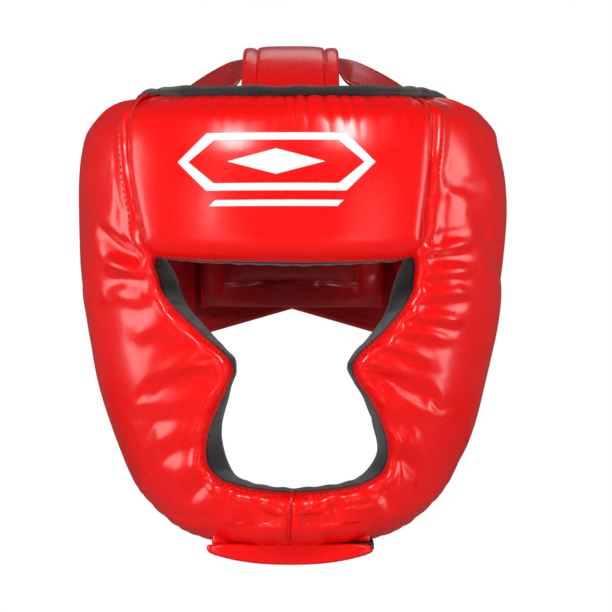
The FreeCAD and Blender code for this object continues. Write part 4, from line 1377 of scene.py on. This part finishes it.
@dataclass
class Seams:
    """Everything sewn along the pads' edges: welts, face tape, rim strip, rim tape and stitches."""

    forehead: Array
    left: Array
    right: Array

    @staticmethod
    def outward(points: Array) -> Array:
        """Rough outward direction of points: away from an upright line through the head."""
        return unit(points * LEVEL)

    def normals(self, grid: Array) -> Array:
        """A cover grid's unit normals, turned outwards."""
        return facing_normals(grid, self.outward(grid))

    def face_loops(self) -> tuple[Array, Array]:
        """The red edge round the opening, and the opening's inner edge on the head's oval."""
        outer, inner = [], []
        for side, grid in ((Side.RIGHT, self.right), (Side.LEFT, self.left)):
            first = int(grid.shape[0] * EYE_CORNER)
            knots = SidePanel(side).edges()[2]
            run = (grid[first:, 0], FORM.inner(knots[first:, 0], knots[first:, 1], 0.8))
            order = 1 if side is Side.RIGHT else -1
            outer.append(run[0][::order])
            inner.append(run[1][::order])
        brow = self.forehead[0]
        outer.append(brow[2:-2])
        left, right = FORM.inner_bearing_at(np.array([-66.0, 60.0]), np.array([22.0, 22.0]))
        bearing = np.linspace(left, right, len(brow) - 4)
        level = brow[2:-2, 2] + 1.2
        inner.append(FORM.inner(bearing, level, 0.8))
        return np.vstack(outer), np.vstack(inner)

    def face_tape(self) -> Shape:
        """Black band between those two edges, a little full towards the opening."""
        outer, inner = self.face_loops()
        part = np.linspace(0, 1, 14)[None, :, None]
        band = outer[:, None] * (1 - part) + inner[:, None] * part
        centre = np.array([0.0, 0.0, -22.0]) * np.ones_like(band)
        centre[..., 1] = band[..., 1]
        lean = unit(centre - band)
        across = unit(np.gradient(band, axis=1))
        lean = unit(lean - across * np.sum(lean * across, axis=2, keepdims=True))
        run = run_along(outer)[:, None, None]
        full = 1.5 * np.sin(math.pi * part) + 0.25 * np.sin(run / 1.9) * np.sin(math.pi * part)
        front = band + lean * (0.5 + full)
        back = band - lean * 1.0
        loop = np.concatenate([front, back[:, ::-1]], axis=1)
        return Shape.sheet(loop, wrap_rows=True, wrap_cols=True).turned_out()

    def rim_line(self, count: int = 900) -> tuple[Array, Array]:
        """Bearing of the rim's places from one rear end to the other, and the tape's height there."""
        bearing = np.linspace(-118.5, 118.5, count)
        return bearing, RIM.read(RIM.tape, bearing)

    def rim_strip(self) -> Shape:
        """Gathered red strip: lobes a thumb's width apart, drawn up into the tape."""
        bearing, top = self.rim_line()
        lobe = RIM.lobes(bearing)
        foot = RIM.height(bearing) - 5.0
        part = np.linspace(0, 1, 14)[None]
        level = foot[:, None] + (top - 2.2 - foot)[:, None] * part
        drop = RIM.drop(bearing)[:, None] * (1 - 0.25 * (1 - part)) + 3.5 * part
        oval_part = (1.9 * part - 0.9) ** 2 * np.where(part < 0.5, 1.2, 1.0)
        bulge = (0.9 + 2.4 * lobe)[:, None] * np.sqrt(np.clip(1 - oval_part, 0, 1))
        spread = np.broadcast_to(bearing[:, None], level.shape)
        out = FORM.outward(spread, level)
        front = FORM.outer(spread, level) + out * bulge[..., None] + level_in(out) * drop[..., None]
        back = FORM.outer(spread, level) + level_in(out) * (drop + 3.0)[..., None]
        return Shape.slab(front, back).turned_out()

    def rim_tape(self) -> list[Shape]:
        """Thick woven tape along the rim, with a facing down to the lining behind it."""
        bearing, height = self.rim_line(700)
        run = RIM.along(bearing)
        drop = RIM.drop(bearing) + 3.8
        out = FORM.outward(bearing, height)
        path = FORM.outer(bearing, height) + level_in(out) * drop[:, None]
        turn = np.linspace(0, 2 * math.pi, 18, endpoint=False)
        wave = 1 + 0.09 * np.sin(run / 6.1 + np.sin(run / 17)) + 0.05 * np.sin(run / 3.7 + 1)
        section = wave[:, None, None] * np.stack([4.6 * np.cos(turn), 3.3 * np.sin(turn)], axis=1)
        up = np.tile([0.0, 0.0, 1.0], (len(path), 1))
        body = tube(path, up, section)
        part = np.linspace(0, 1, 10)[None, :, None]
        inner = FORM.inner(bearing * 0.985, RIM.height(bearing) - 2.0, 0.4)
        facing = path[:, None] * (1 - part) + inner[:, None] * part
        facing[..., 2] += (2.4 + 0.3 * np.sin(run / 2.9)[:, None]) * np.sin(math.pi * part[..., 0])
        below = facing - np.array([0, 0, 1.6])
        return [body, Shape.slab(facing, below).turned_out()]

    def build(self, dresser: Dresser) -> None:
        """Make and dress all of it."""
        wardrobe = dresser.wardrobe
        dresser.dress(self.face_tape(), "face_tape", wardrobe.tape, stands_for=("face_binding",))
        dresser.dress(
            self.rim_strip(), "rim_gather_strip", wardrobe.cover, stands_for=("rim_gather",)
        )
        tape = Shape.joined(self.rim_tape())
        dresser.dress(tape, "rim_tape", wardrobe.tape, stands_for=("top_binding",))
        threads = []
        for side, grid in ((Side.RIGHT, self.right), (Side.LEFT, self.left)):
            name = side.name.lower()
            out = self.normals(grid)
            corner = int(grid.shape[0] * EYE_CORNER)
            seam = grid[1:corner + 2, 0]
            raised = FORM.outward(FORM.bearing_at(seam[:, 0], seam[:, 2]), seam[:, 2])
            path = evenly(seam + raised, 0.6)
            welt = corded(path, self.outward(path), 2.3)
            dresser.dress(
                welt, f"{name}_seam_cord", wardrobe.welt, stands_for=(f"{name}_seam_welt",)
            )
            for first, last, col, pitch in ((3, corner - 2, 7, 3.3), (corner + 4, grid.shape[0] - 6, 4, 3.6)):
                line = grid[first:last, col] + 0.15 * out[first:last, col]
                threads.append(stitch_row(line, out[first:last, col], pitch, 2.3, 0.6))
            chin = slice(5, -14)
            line = grid[-5, chin] + 0.12 * out[-5, chin]
            threads.append(stitch_row(line, out[-5, chin], 3.2, 2.2, 0.6))
        normal = self.normals(self.forehead)[5, 6:-6]
        threads.append(stitch_row(self.forehead[5, 6:-6] + 0.12 * normal, normal, 3.6, 2.3, 0.55))
        dresser.dress(Shape.joined(threads), "cover_stitches", wardrobe.red_thread)
        out = self.normals(self.right)
        path = evenly(self.right[-1, :-6] + 0.55 * out[-1, :-6], 0.6)
        chin = corded(path, np.tile([0.0, -1.0, 0.0], (len(path), 1)), 1.9)
        dresser.dress(chin, "chin_seam_cord", wardrobe.welt, stands_for=("chin_seam_welt",))


@dataclass(frozen=True)
class Arch:
    """An upright arch by its reach, rise and centre, along Y or along X."""

    reach: float
    rise: float
    centre: float
    height: float
    along_x: bool = False

    def at(self, turn: Array, depth: Array, side: Array) -> Array:
        """Point at an angle from the top, a depth under the arch and a place across it."""
        turn, depth, side = np.broadcast_arrays(turn, depth, side)
        run = self.centre + (self.reach - depth) * np.sin(turn)
        height = self.height + (self.rise - depth) * np.cos(turn)
        return np.stack([run, side, height] if self.along_x else [side, run, height], axis=-1)

    def turn_at(self, run: float, depth: float = 0.0) -> float:
        """Angle where the arch has come this far along."""
        return math.asin((run - self.centre) / (self.reach - depth))

    def turn_down(self, height: float, depth: float = 0.0) -> float:
        """Angle where the arch has come down to this height."""
        return math.acos((height - self.height) / (self.rise - depth))

    @staticmethod
    def lean_share(place: Array | float) -> Array | float:
        """Share of a lean at a place across: all of it down at the front, -1, a quarter up at 1."""
        return 0.375 - 0.625 * place

    def strap(
        self,
        turns: Array,
        half: Array | float,
        far: float | Callable[[Array], Array],
        near: float,
        edge: float = 1.4,
        lean: Array | float = 0.0,
    ) -> Shape:
        """Flat strap with rounded edges.

        Args:
            turns: angles of its rows.
            half: half its width, or one for each row.
            far: depth of its outer face, or a function of the place across it.
            near: depth of its inner face.
            edge: how far its edges are rounded.
            lean: how far its front edge is lowered, for each row.

        Returns:
            The closed strap.
        """
        half = np.broadcast_to(np.asarray(half, float), (len(turns),))[:, None]
        place = across_places(0.14, 6, 30)
        side = half * place
        lip = roll((1 - np.abs(place)) * half, edge * 1.2, edge)
        outer = far(side) if callable(far) else far
        lean = np.broadcast_to(np.asarray(lean, float), (len(turns),))[:, None]
        deeper = lean * self.lean_share(place)
        front = self.at(turns[:, None], outer + lip + deeper, side)
        back = self.at(turns[:, None], near - 0.6 * lip + deeper, side)
        return Shape.slab(front, back).turned_out()


CROWN = Arch(reach=119.0, rise=88.0, centre=8.0, height=50.0)
CROSS_REACH = {Side.LEFT: 101.5, Side.RIGHT: 111.0}
CROSS = Arch(reach=108.0, rise=115.0, centre=0.0, height=23.0, along_x=True)


def rounded_end(distance: Array, half: float, radius: float) -> Array:
    """Half width of a strap near its end: full, then a quarter circle in at each corner."""
    part = np.clip(1 - distance / radius, 0, 1)
    return half - radius * (1 - np.sqrt(np.clip(1 - part * part, 0, 1)))


@dataclass
class Crown:
    """Crown strap with its raised middle, cross straps, and the tail on its tongue."""

    half: float = 26.0
    panel_half: float = 18.0
    cross_half: float = 21.6
    skin: float = 4.0
    split: float = 30.0

    def band(self, side: Array) -> Array:
        """Depth of the strap's face: a low roll along each edge and a flat middle."""
        edge = np.clip(1 - ((np.abs(side) - 22.2) / 3.9) ** 2, 0, 1)
        return -1.5 * np.sqrt(edge)

    @staticmethod
    def stitches(arch: Arch, turns: Array, side: float, depth: Array | float) -> Shape:
        """A row of stitches along an arch."""
        path = arch.at(turns, depth, side)
        up = unit(path - arch.at(turns, depth + 5.0, side))
        return stitch_row(path, up, 3.1, 2.2, 0.65)

    def build(self, dresser: Dresser) -> None:
        """Make and dress all of it."""
        wardrobe = dresser.wardrobe
        low = -CROWN.turn_down(101.0)
        turns = np.linspace(low, CROWN.turn_at(self.split - 0.2), 130)
        strap = CROWN.strap(turns, self.half, self.band, self.skin)
        dresser.dress(strap, "crown_strap_leather", wardrobe.cover, stands_for=("crown_strap",))
        run = np.linspace(-CROWN.turn_down(104.0), CROWN.turn_at(24.0), 130)
        place = np.linspace(-1, 1, 44)[None]
        ends = np.clip(np.minimum(run - run[0], run[-1] - run)[:, None] / 0.06, 0, 1)
        dome = (0.9 + 1.5 * np.sqrt(np.clip(1 - place**4, 0, 1))) * np.sqrt(np.clip(1 - (1 - ends) ** 2, 0, 1))
        dome = dome + 0.12 * np.sin(run * 60)[:, None] * np.clip(np.abs(place) - 0.6, 0, 1)
        side = self.panel_half * place
        panel = Shape.slab(CROWN.at(run[:, None], -dome, side), CROWN.at(run[:, None], 0.4, side)).turned_out()
        dresser.dress(
            panel, "crown_raised_panel", wardrobe.cover, stands_for=("crown_panel",)
        )
        rows = [self.stitches(CROWN, turns[2:-2], sign * at, -0.55) for sign in (-1, 1) for at in (19.6, 24.6)]
        dresser.dress(Shape.joined(rows), "crown_stitches", wardrobe.red_thread)

        for side in Side:
            arch = replace(CROSS, reach=CROSS_REACH[side])
            start, end = arch.turn_at(self.half + 0.3), arch.turn_down(97.0)
            angles = np.linspace(start, end, 80)
            part = (angles - start) / (end - start)
            half, sag = self.cross_half, 1.1 * np.sin(math.pi * part)[:, None]
            lean = 12.0 * ease(part, -0.12, 0.16) * (1 - ease(part, 0.6, 1.0))

            def face(across: Array, half: float = half, sag: Array = sag) -> Array:
                """Depth of its face: a sag along it and a low wave across it."""
                return sag - 0.35 * np.cos(across / half * math.pi)

            mirror = np.array([side.value, 1, 1])
            strap = arch.strap(angles, half, face, 3.5, lean=lean)
            strap.points = strap.points * mirror
            name = side.name.lower()
            dresser.dress(
                strap.turned_out(), f"{name}_cross_strap_leather", wardrobe.strap,
                stands_for=(f"{name}_cross_strap",),
            )
            rows = []
            for across in (-17.8, 17.8):
                depth = 1.0 + lean * arch.lean_share(across / half)
                row = self.stitches(arch, angles[2:-2], across, depth[2:-2])
                row.points = row.points * mirror
                rows.append(row.turned_out())
            dresser.dress(Shape.joined(rows), f"{name}_cross_stitches", wardrobe.red_thread)

        tail = np.linspace(CROWN.turn_at(self.split + 0.4), CROWN.turn_down(66.0), 130)
        left_over = (tail[-1] - tail) * 100
        strap = CROWN.strap(tail, rounded_end(left_over, self.half, 11.0), self.band, self.skin)
        dresser.dress(
            strap, "crown_tail_leather", wardrobe.strap, "crown_tail_flap",
            stands_for=("crown_tail",),
        )
        rows = [self.stitches(CROWN, tail[3:-12], sign * at, -0.55) for sign in (-1, 1) for at in (19.9, 24.4)]
        cross = np.linspace(-15, 15, 40)
        for height in (-1.2, 0.0):
            path = CROWN.at(np.full(40, tail[-1] - 0.045 + 0.02 * height), 0.0, cross)
            rows.append(stitch_row(path, self.outer_up(path), 3.1, 2.2, 0.65))
        dresser.dress(
            Shape.joined(rows), "crown_tail_stitches", wardrobe.red_thread, "crown_tail_flap"
        )

        deep = 2 * 1.2 + 0.4 + self.skin
        tongue = np.linspace(CROWN.turn_at(10.0, deep), CROWN.turn_down(80.0, deep), 90)
        strap = CROWN.strap(tongue, 22.0, deep, deep + self.skin)
        dresser.dress(strap, "crown_tongue_leather", wardrobe.strap, stands_for=("crown_tongue",))

    @staticmethod
    def outer_up(path: Array) -> Array:
        """Directions away from the middle of the head."""
        return unit(path - np.array([0.0, 8.0, 40.0]))


@dataclass(frozen=True)
class HeadOval:
    """The upright oval round the cavity that the rear pieces are laid on."""

    half_width: float = 84.0
    half_length: float = 100.0

    def at(self, turn: Array, gap: Array | float, height: Array) -> Array:
        """Point at an angle from the back, a gap outside the oval, at a height."""
        turn, gap, height = np.broadcast_arrays(turn, gap, height)
        return np.stack(
            [(self.half_width + gap) * np.sin(turn), (self.half_length + gap) * np.cos(turn), height], axis=-1
        )

    def out(self, turn: Array) -> Array:
        """Outward unit directions."""
        across, along = np.sin(turn) / self.half_width, np.cos(turn) / self.half_length
        return unit(np.stack([across, along, 0 * turn], axis=-1))


OVAL = HeadOval()


@dataclass
class RearPad:
    """Soft pad against the back of the head, red on both faces.

    run is the millimetres across it for one radian, and corner rounds its corners.
    """

    half: float = 49.0
    run: float = 88.0
    corner: float = 12.0
    low: float = -4.0
    high: float = 80.0
    thick: float = 11.6

    def build(self, dresser: Dresser) -> None:
        """Make the padded cushion, its inner face and its stitches."""
        wide = math.asin(self.half / OVAL.half_width)
        side = edge_steps(np.array([2.0 * wide]), 0.10, 0.10, 12, 90)[0] - wide
        rise = edge_steps(np.array([self.high - self.low]), 9.0, 9.0, 12, 60)[0] + self.low
        turn, level = np.meshgrid(side, rise, indexing="ij")
        from_side = (wide - np.abs(turn)) * self.run
        from_end = np.minimum(level - self.low, self.high - level)
        to_edge = np.minimum(from_side, from_end)
        corner = np.hypot(*(np.clip(self.corner - gap, 0, self.corner) for gap in (from_side, from_end)))
        inset = np.clip(np.where(corner > 0, self.corner - corner, to_edge), 0, None)
        channel = 1.4 * np.exp(-(((to_edge - 15) / 1.8) ** 2))
        crease = 0.5 * np.sin(turn * 41 + level / 9) * np.sin(level / 6.5) * ease(to_edge, 4, 20)
        near_gap = 0.2 + roll(inset, 9, 5.4) + channel - 1.2 * ease(to_edge, 16, 30) + crease
        far_gap = self.thick - roll(inset, 9, 5.6) - channel
        near = OVAL.at(turn, near_gap, level)
        far = OVAL.at(turn, far_gap, level)
        near = puffed("rear_pad_cloth", near, -OVAL.out(turn), 2.5, 0.05, 2.2, step=2)
        middle = OVAL.at(turn, self.thick * 0.5, level)
        cushion = Shape.slab(far, middle + (near - middle) * 0.2).turned_out()
        # Both faces of the pad use the darker strap leather, whose darkness is painted shade.
        dresser.dress(
            cushion, "rear_pad_cushion", dresser.wardrobe.strap,
            stands_for=("rear_pad_cover", "rear_pad_foam"),
        )
        face = Shape.slab(near, middle).turned_out()
        dresser.dress(
            face, "rear_pad_inner_face", dresser.wardrobe.strap,
            stands_for=("rear_pad_lining",),
        )
        rows = []
        for height in (self.low + 15, self.high - 15):
            line = np.linspace(-wide + 0.17, wide - 0.17, 80)
            path = OVAL.at(line, self.thick - 1.2, np.full(80, height))
            rows.append(stitch_row(path, OVAL.out(line), 3.4, 2.3, 0.65))
        dresser.dress(Shape.joined(rows), "rear_pad_stitches", dresser.wardrobe.red_thread)


@dataclass
class RearWing:
    """One of the two wings that cross behind the head.

    near and far are the gaps of its two faces outside the head's oval, run is the
    millimetres along it for one radian, and insets place its double stitches.
    """

    side: Side
    near: float
    far: float
    body: str
    lap: float = 26.0
    start: float = 58.9
    root: float = 109.4
    run: float = 100.0
    corner: float = 9.0
    insets: tuple[float, float] = (4.5, 9.5)

    def limits(self, across: Array) -> tuple[Array, Array]:
        """The wing's foot and top by how far it has come from the middle towards its panel."""
        low = np.interp(across, [-self.lap, 0, 53.0, self.root], [3.0, -5.0, -20.5, -33.0])
        high = np.interp(across, [-self.lap, 0, self.root], [38.0, 44.0, 58.0])
        return low, high

    def build(self, dresser: Dresser) -> None:
        """Make the wing and its double rows of stitches on both faces."""
        wide = OVAL.half_width + self.near
        end = math.acos(self.start / (OVAL.half_length + self.far))
        tip = -math.asin(self.lap / wide)
        turn = np.linspace(tip, end, 150)[:, None]
        low, high = self.limits(wide * np.sin(turn))
        half = rounded_end((turn - tip) * self.run, 0.5 * (high - low), self.corner)
        place = across_places(0.12, 6, 46)
        level = 0.5 * (low + high) + half * place
        to_edge = (1 - np.abs(place)) * half
        lip = roll(to_edge, 3.0, 1.7)
        tip_lip = roll((turn - tip) * self.run, 3.0, 1.7)
        channel = sum(0.45 * np.exp(-(((to_edge - inset) / 0.9) ** 2)) for inset in self.insets)
        soft = 0.35 * np.sin(turn * 23 + level / 11) * ease(to_edge, 9, 16)
        edge = np.minimum(lip + tip_lip, 2.2)
        near = OVAL.at(turn, self.near + edge + 0.6 * channel, level)
        far = OVAL.at(turn, self.far - edge - channel + soft, level)
        mirror = np.array([self.side.value, 1, 1])
        name = self.side.name.lower()
        wing = Shape.slab(far * mirror, near * mirror).turned_out()
        dresser.dress(
            wing, f"{name}_wing_leather", dresser.wardrobe.strap, self.body,
            stands_for=(f"{name}_rear_wing",),
        )
        line = np.linspace(tip + 0.10, end - 0.02, 140)
        foot, top = self.limits(wide * np.sin(line))
        outer_gap = self.far - 0.25
        rows = []
        for gap, face in ((self.near + 0.1, -1), (outer_gap, 1)):
            for inset in self.insets:
                for level in (foot + inset, top - inset):
                    path, up = OVAL.at(line, gap, level), face * OVAL.out(line)
                    rows.append(stitch_row(path * mirror, up * mirror, 3.2, 2.3, 0.6))
        turn = np.full(30, tip + 0.05)
        foot, top = self.limits(wide * np.sin(turn))
        path = OVAL.at(turn, outer_gap, foot + (top - foot) * np.linspace(0.22, 0.78, 30))
        rows.append(stitch_row(path * mirror, OVAL.out(turn) * mirror, 3.2, 2.3, 0.6))
        dresser.dress(
            Shape.joined(rows), f"{name}_wing_stitches", dresser.wardrobe.red_thread, self.body
        )


@dataclass
class ChinStrap:
    """Strap under the chin with its cup pad."""

    half: float = 44.0
    front: float = -92.0
    width: float = 36.0
    top: float = -130.8
    dip: float = 3.6
    skin: float = 4.5
    brim: float = -127.9

    def tab(self, left: float, right: float, foot: float, head: float) -> Shape:
        """Soft-cornered tab: a superellipse in plan, rounded over at its foot and head."""
        turn = np.linspace(0, 2 * math.pi, 64, endpoint=False)
        cosine, sine = np.cos(turn), np.sin(turn)
        plan = np.stack([np.sign(cosine) * np.abs(cosine) ** 0.3, np.sign(sine) * np.abs(sine) ** 0.3], axis=1)
        half = 0.5 * np.array([right - left, self.width - 10.0])
        middle = np.array([0.5 * (left + right), self.front + 0.5 * self.width + 3.0])
        rise = np.linspace(-0.5 * math.pi, 0.5 * math.pi, 12)[:, None, None]
        draw = 1.2 * (1 - np.cos(rise))
        ring = middle + plan[None] * (half - np.minimum(draw, half * 0.98))
        near, far = (middle + (end - middle) * TIP_SHARE for end in (ring[:1], ring[-1:]))
        cap = np.concatenate([near, ring, far])
        level = 0.5 * (foot + head) + 0.5 * (head - foot) * np.sin(rise[:, 0, 0])
        level = np.concatenate([level[:1], level, level[-1:]])
        points = np.concatenate([cap, np.broadcast_to(level[:, None, None], (*cap.shape[:2], 1))], axis=2)
        return Shape.sheet(points, wrap_cols=True).turned_out()

    def foot(self, side: Array) -> Array:
        """Height of the strap's underside: a shallow bowl."""
        return self.top - self.skin - self.dip - 0.4 + 6.6 * (np.abs(side) / self.half) ** 2.4

    def build(self, dresser: Dresser) -> None:
        """Make the strap, its pad and its stitches."""
        side = np.linspace(-1, 1, 120)[:, None] * self.half
        place = across_places(0.2, 8, 30)
        corner = np.clip(1 - (self.half - np.abs(side)) / 9.0, 0, 1)
        short = 5.0 * (1 - np.sqrt(1 - 0.98 * corner**2))
        half = 0.5 * (self.width - short)
        deep = self.front + 0.5 * (self.width + short) + half * place
        sink = self.dip * (1 - ease(np.abs(side), 18, 30))
        inset = np.minimum((1 - np.abs(place)) * half, self.half - np.abs(side))
        lip = roll(inset, 2.8, 2.0)
        wide = np.broadcast_to(side, deep.shape)
        brim = self.brim - 0.6 * ease(np.abs(side), 30, 42)
        cuff = (brim - self.top + sink) * np.exp(-((np.clip(half * (1 + place) - 1.6, 0, 99) / 2.4) ** 2))
        above = np.stack([wide, deep, self.top - sink + cuff - lip * 0.6], axis=2)
        below = np.stack([wide, deep, self.foot(side) + lip * 0.9], axis=2)
        strap = Shape.slab(above, below).turned_out()
        dresser.dress(
            strap, "chin_strap_leather", dresser.wardrobe.cover, "chin_strap_flap",
            stands_for=("chin_strap",),
        )
        across, along = np.meshgrid(np.linspace(-1, 1, 50), np.linspace(-1, 1, 40), indexing="ij")
        dome = np.clip(1 - across**4, 0, 1) ** 0.5 * np.clip(1 - along**4, 0, 1) ** 0.5
        base = self.top - self.dip
        middle = self.front + 0.5 * self.width
        high, low = (
            np.stack([19.5 * across, middle + 11.8 * along, level], axis=2)
            for level in (base + 4.8 * dome, np.full_like(across, base - 0.2))
        )
        cup = Shape.slab(high, low).turned_out()
        dresser.dress(
            cup, "chin_cup_cushion", dresser.wardrobe.strap, "chin_strap_flap",
            stands_for=("chin_cup_pad",),
        )
        for name, low_x, high_x, stands_for in (
            ("chin_mount_tab", -41.6, -26.6, ("chin_strap_mount",)), ("chin_loop_tab", 26.6, 42.4, ()),
        ):
            foot = self.top + 0.4 if stands_for else self.brim
            dresser.dress(
                self.tab(low_x, high_x, foot, -123.5), name, dresser.wardrobe.cover,
                stands_for=stands_for,
            )
        run = np.linspace(-40.5, 40.5, 120)
        under = self.foot(run) - 0.05
        down = np.tile([0.0, 0.0, -1.0], (120, 1))
        rows = [
            stitch_row(np.stack([run, np.full(120, fore), under], axis=1), down, 3.2, 2.3, 0.65)
            for fore in (self.front + 7.0, self.front + self.width - 4.0)
        ]
        dresser.dress(
            Shape.joined(rows), "chin_strap_stitches", dresser.wardrobe.red_thread,
            "chin_strap_flap",
        )


def dress_frame_nodes(wardrobe: Wardrobe) -> None:
    """Give the frame's own small pieces their finishes."""
    finishes = {"crown_spacer": wardrobe.strap}
    for place in ("crown", "wing", "chin"):
        finishes |= {f"{place}_{face}_patch": wardrobe.pile for face in ("hook", "loop")}
    for name, material in finishes.items():
        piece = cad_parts[name]
        piece.data.materials.clear()
        piece.data.materials.append(material)
        LOG.info("%s: frame piece dressed", name)


# ---------------------------------------------------------------- studio


@dataclass(frozen=True)
class Lamp:
    """A soft oval light that faces a target; one that isn't mirrored stays out of reflections."""

    name: str
    place: Place
    target: Place
    size: tuple[float, float]
    watts: float
    mirrored: bool = True

    def build(self) -> None:
        """Make the light."""
        data = bpy.data.lights.new(self.name, "AREA")
        data.shape = "ELLIPSE"
        data.size, data.size_y = self.size
        data.energy = self.watts
        lamp = bpy.data.objects.new(self.name, data)
        bpy.context.scene.collection.objects.link(lamp)
        lamp.visible_glossy = self.mirrored
        lamp.location = self.place
        way = Vector(self.target) - Vector(self.place)
        lamp.rotation_euler = way.to_track_quat("-Z", "Y").to_euler()


LAMPS = (
    Lamp("KeyLeft", (-0.85, -1.25, 1.10), (0, 0, 0.02), (0.50, 0.42), 13.5),
    Lamp("KeyRight", (0.80, -1.15, 1.20), (0, 0, 0.02), (0.42, 0.36), 12.0),
    Lamp("FrontFill", (-0.20, -2.3, 0.10), (0, 0, -0.02), (1.6, 1.2), 1.5, mirrored=False),
    Lamp("FillLeft", (-1.6, -1.6, -0.15), (0, 0, -0.02), (1.0, 1.2), 12.0, mirrored=False),
    Lamp("FillRight", (1.6, -1.6, -0.15), (0, 0, -0.02), (1.0, 1.2), 12.5, mirrored=False),
    Lamp("LowLeft", (-0.9, -1.1, -0.50), (0, 0, -0.08), (0.8, 0.5), 7.0, mirrored=False),
    Lamp("LowRight", (0.9, -1.1, -0.50), (0, 0, -0.08), (0.8, 0.5), 7.5, mirrored=False),
    Lamp("BackFill", (0.0, 2.2, 0.5), (0, 0, 0), (1.4, 1.0), 20.0, mirrored=False),
    Lamp("CheekWindow", (-1.20, -1.25, 0.05), (0, 0, -0.02), (0.13, 0.34), 0.7),
    Lamp("LeftStrip", (-1.30, 0.15, 0.10), (0, 0, 0), (0.5, 1.0), 4.0),
    Lamp("RightStrip", (1.35, 0.15, 0.10), (0, 0, 0), (0.4, 1.0), 3.5),
    Lamp("TopBack", (0.1, 1.5, 1.1), (0, 0, 0.05), (0.8, 0.5), 0.8),
)


@dataclass(frozen=True)
class Studio:
    """White studio: camera, floor, world and soft lights, in metres."""

    reach: float = 1.8
    lens: float = 191.6
    aim: Place = (0.0083, 0.0, -0.0033)
    floor_height: float = -0.52

    def sky(self) -> None:
        """White behind the object, and a dimmer even light from all round."""
        world = bpy.data.worlds.new("Studio")
        bpy.context.scene.world = world
        world.use_nodes = True
        tree = world.node_tree
        paper = tree.nodes["Background"]
        paper.inputs[0].default_value = (1.0, 1.0, 1.0, 1.0)
        paper.inputs[1].default_value = 1.0
        dim = tree.nodes.new("ShaderNodeBackground")
        dim.inputs[0].default_value = (1.0, 1.0, 1.0, 1.0)
        dim.inputs[1].default_value = 0.07
        ray = tree.nodes.new("ShaderNodeLightPath")
        mix = tree.nodes.new("ShaderNodeMixShader")
        tree.links.new(ray.outputs["Is Camera Ray"], mix.inputs[0])
        tree.links.new(dim.outputs[0], mix.inputs[1])
        tree.links.new(paper.outputs[0], mix.inputs[2])
        tree.links.new(mix.outputs[0], tree.nodes["World Output"].inputs["Surface"])

    def build(self) -> None:
        """Set the camera, the floor, the world and the lights."""
        scene = bpy.context.scene
        camera = bpy.data.objects.new("Camera", bpy.data.cameras.new("Camera"))
        scene.collection.objects.link(camera)
        aim = Vector(self.aim)
        camera.location = aim + Vector((0, -self.reach, 0))
        camera.rotation_euler = (aim - camera.location).to_track_quat("-Z", "Y").to_euler()
        camera.data.lens = self.lens
        camera.data.sensor_width = 36.0
        camera.data.clip_end = 50.0
        scene.camera = camera
        scene.view_settings.view_transform = "Standard"
        self.sky()
        side, deep = np.meshgrid(np.linspace(-2200, 2200, 12), np.linspace(-1500, 2600, 12), indexing="ij")
        ground = Shape.sheet(np.stack([side, deep, np.full_like(side, self.floor_height * 1000)], axis=2))
        floor = ground.mesh("studio_floor")
        material, tree, shader = blank_material("StudioFloor")
        ray = tree.nodes.new("ShaderNodeLightPath")
        shade = blend_colours(tree, ray.outputs["Is Glossy Ray"], (0.5, 0.5, 0.5), (0.1, 0.1, 0.1))
        tree.links.new(shade, shader.inputs["Base Color"])
        glow = blend_colours(tree, ray.outputs["Is Camera Ray"], (0.0, 0.0, 0.0), (0.85, 0.85, 0.85))
        tree.links.new(glow, shader.inputs["Emission Color"])
        shader.inputs["Emission Strength"].default_value = 1.0
        shader.inputs["Roughness"].default_value = 0.9
        floor.data.materials.append(material)
        for lamp in LAMPS:
            lamp.build()


def main() -> None:
    """Build the headgear, piece by piece, and the studio round it."""
    logging.basicConfig(level=logging.INFO, format="%(message)s")
    dresser = Dresser(Wardrobe())
    forehead = Forehead().build(dresser)
    left, right = (SidePanel(side).build(dresser) for side in Side)
    Seams(forehead, left, right).build(dresser)
    Crown().build(dresser)
    RearPad().build(dresser)
    RearWing(Side.RIGHT, 20.4, 25.4, "right_wing").build(dresser)
    RearWing(Side.LEFT, 12.6, 17.6, "left_wing").build(dresser)
    ChinStrap().build(dresser)
    dress_frame_nodes(dresser.wardrobe)
    Studio().build()
    LOG.info("%d pieces", len(dresser.pieces))


if __name__ == "__main__":
    main()
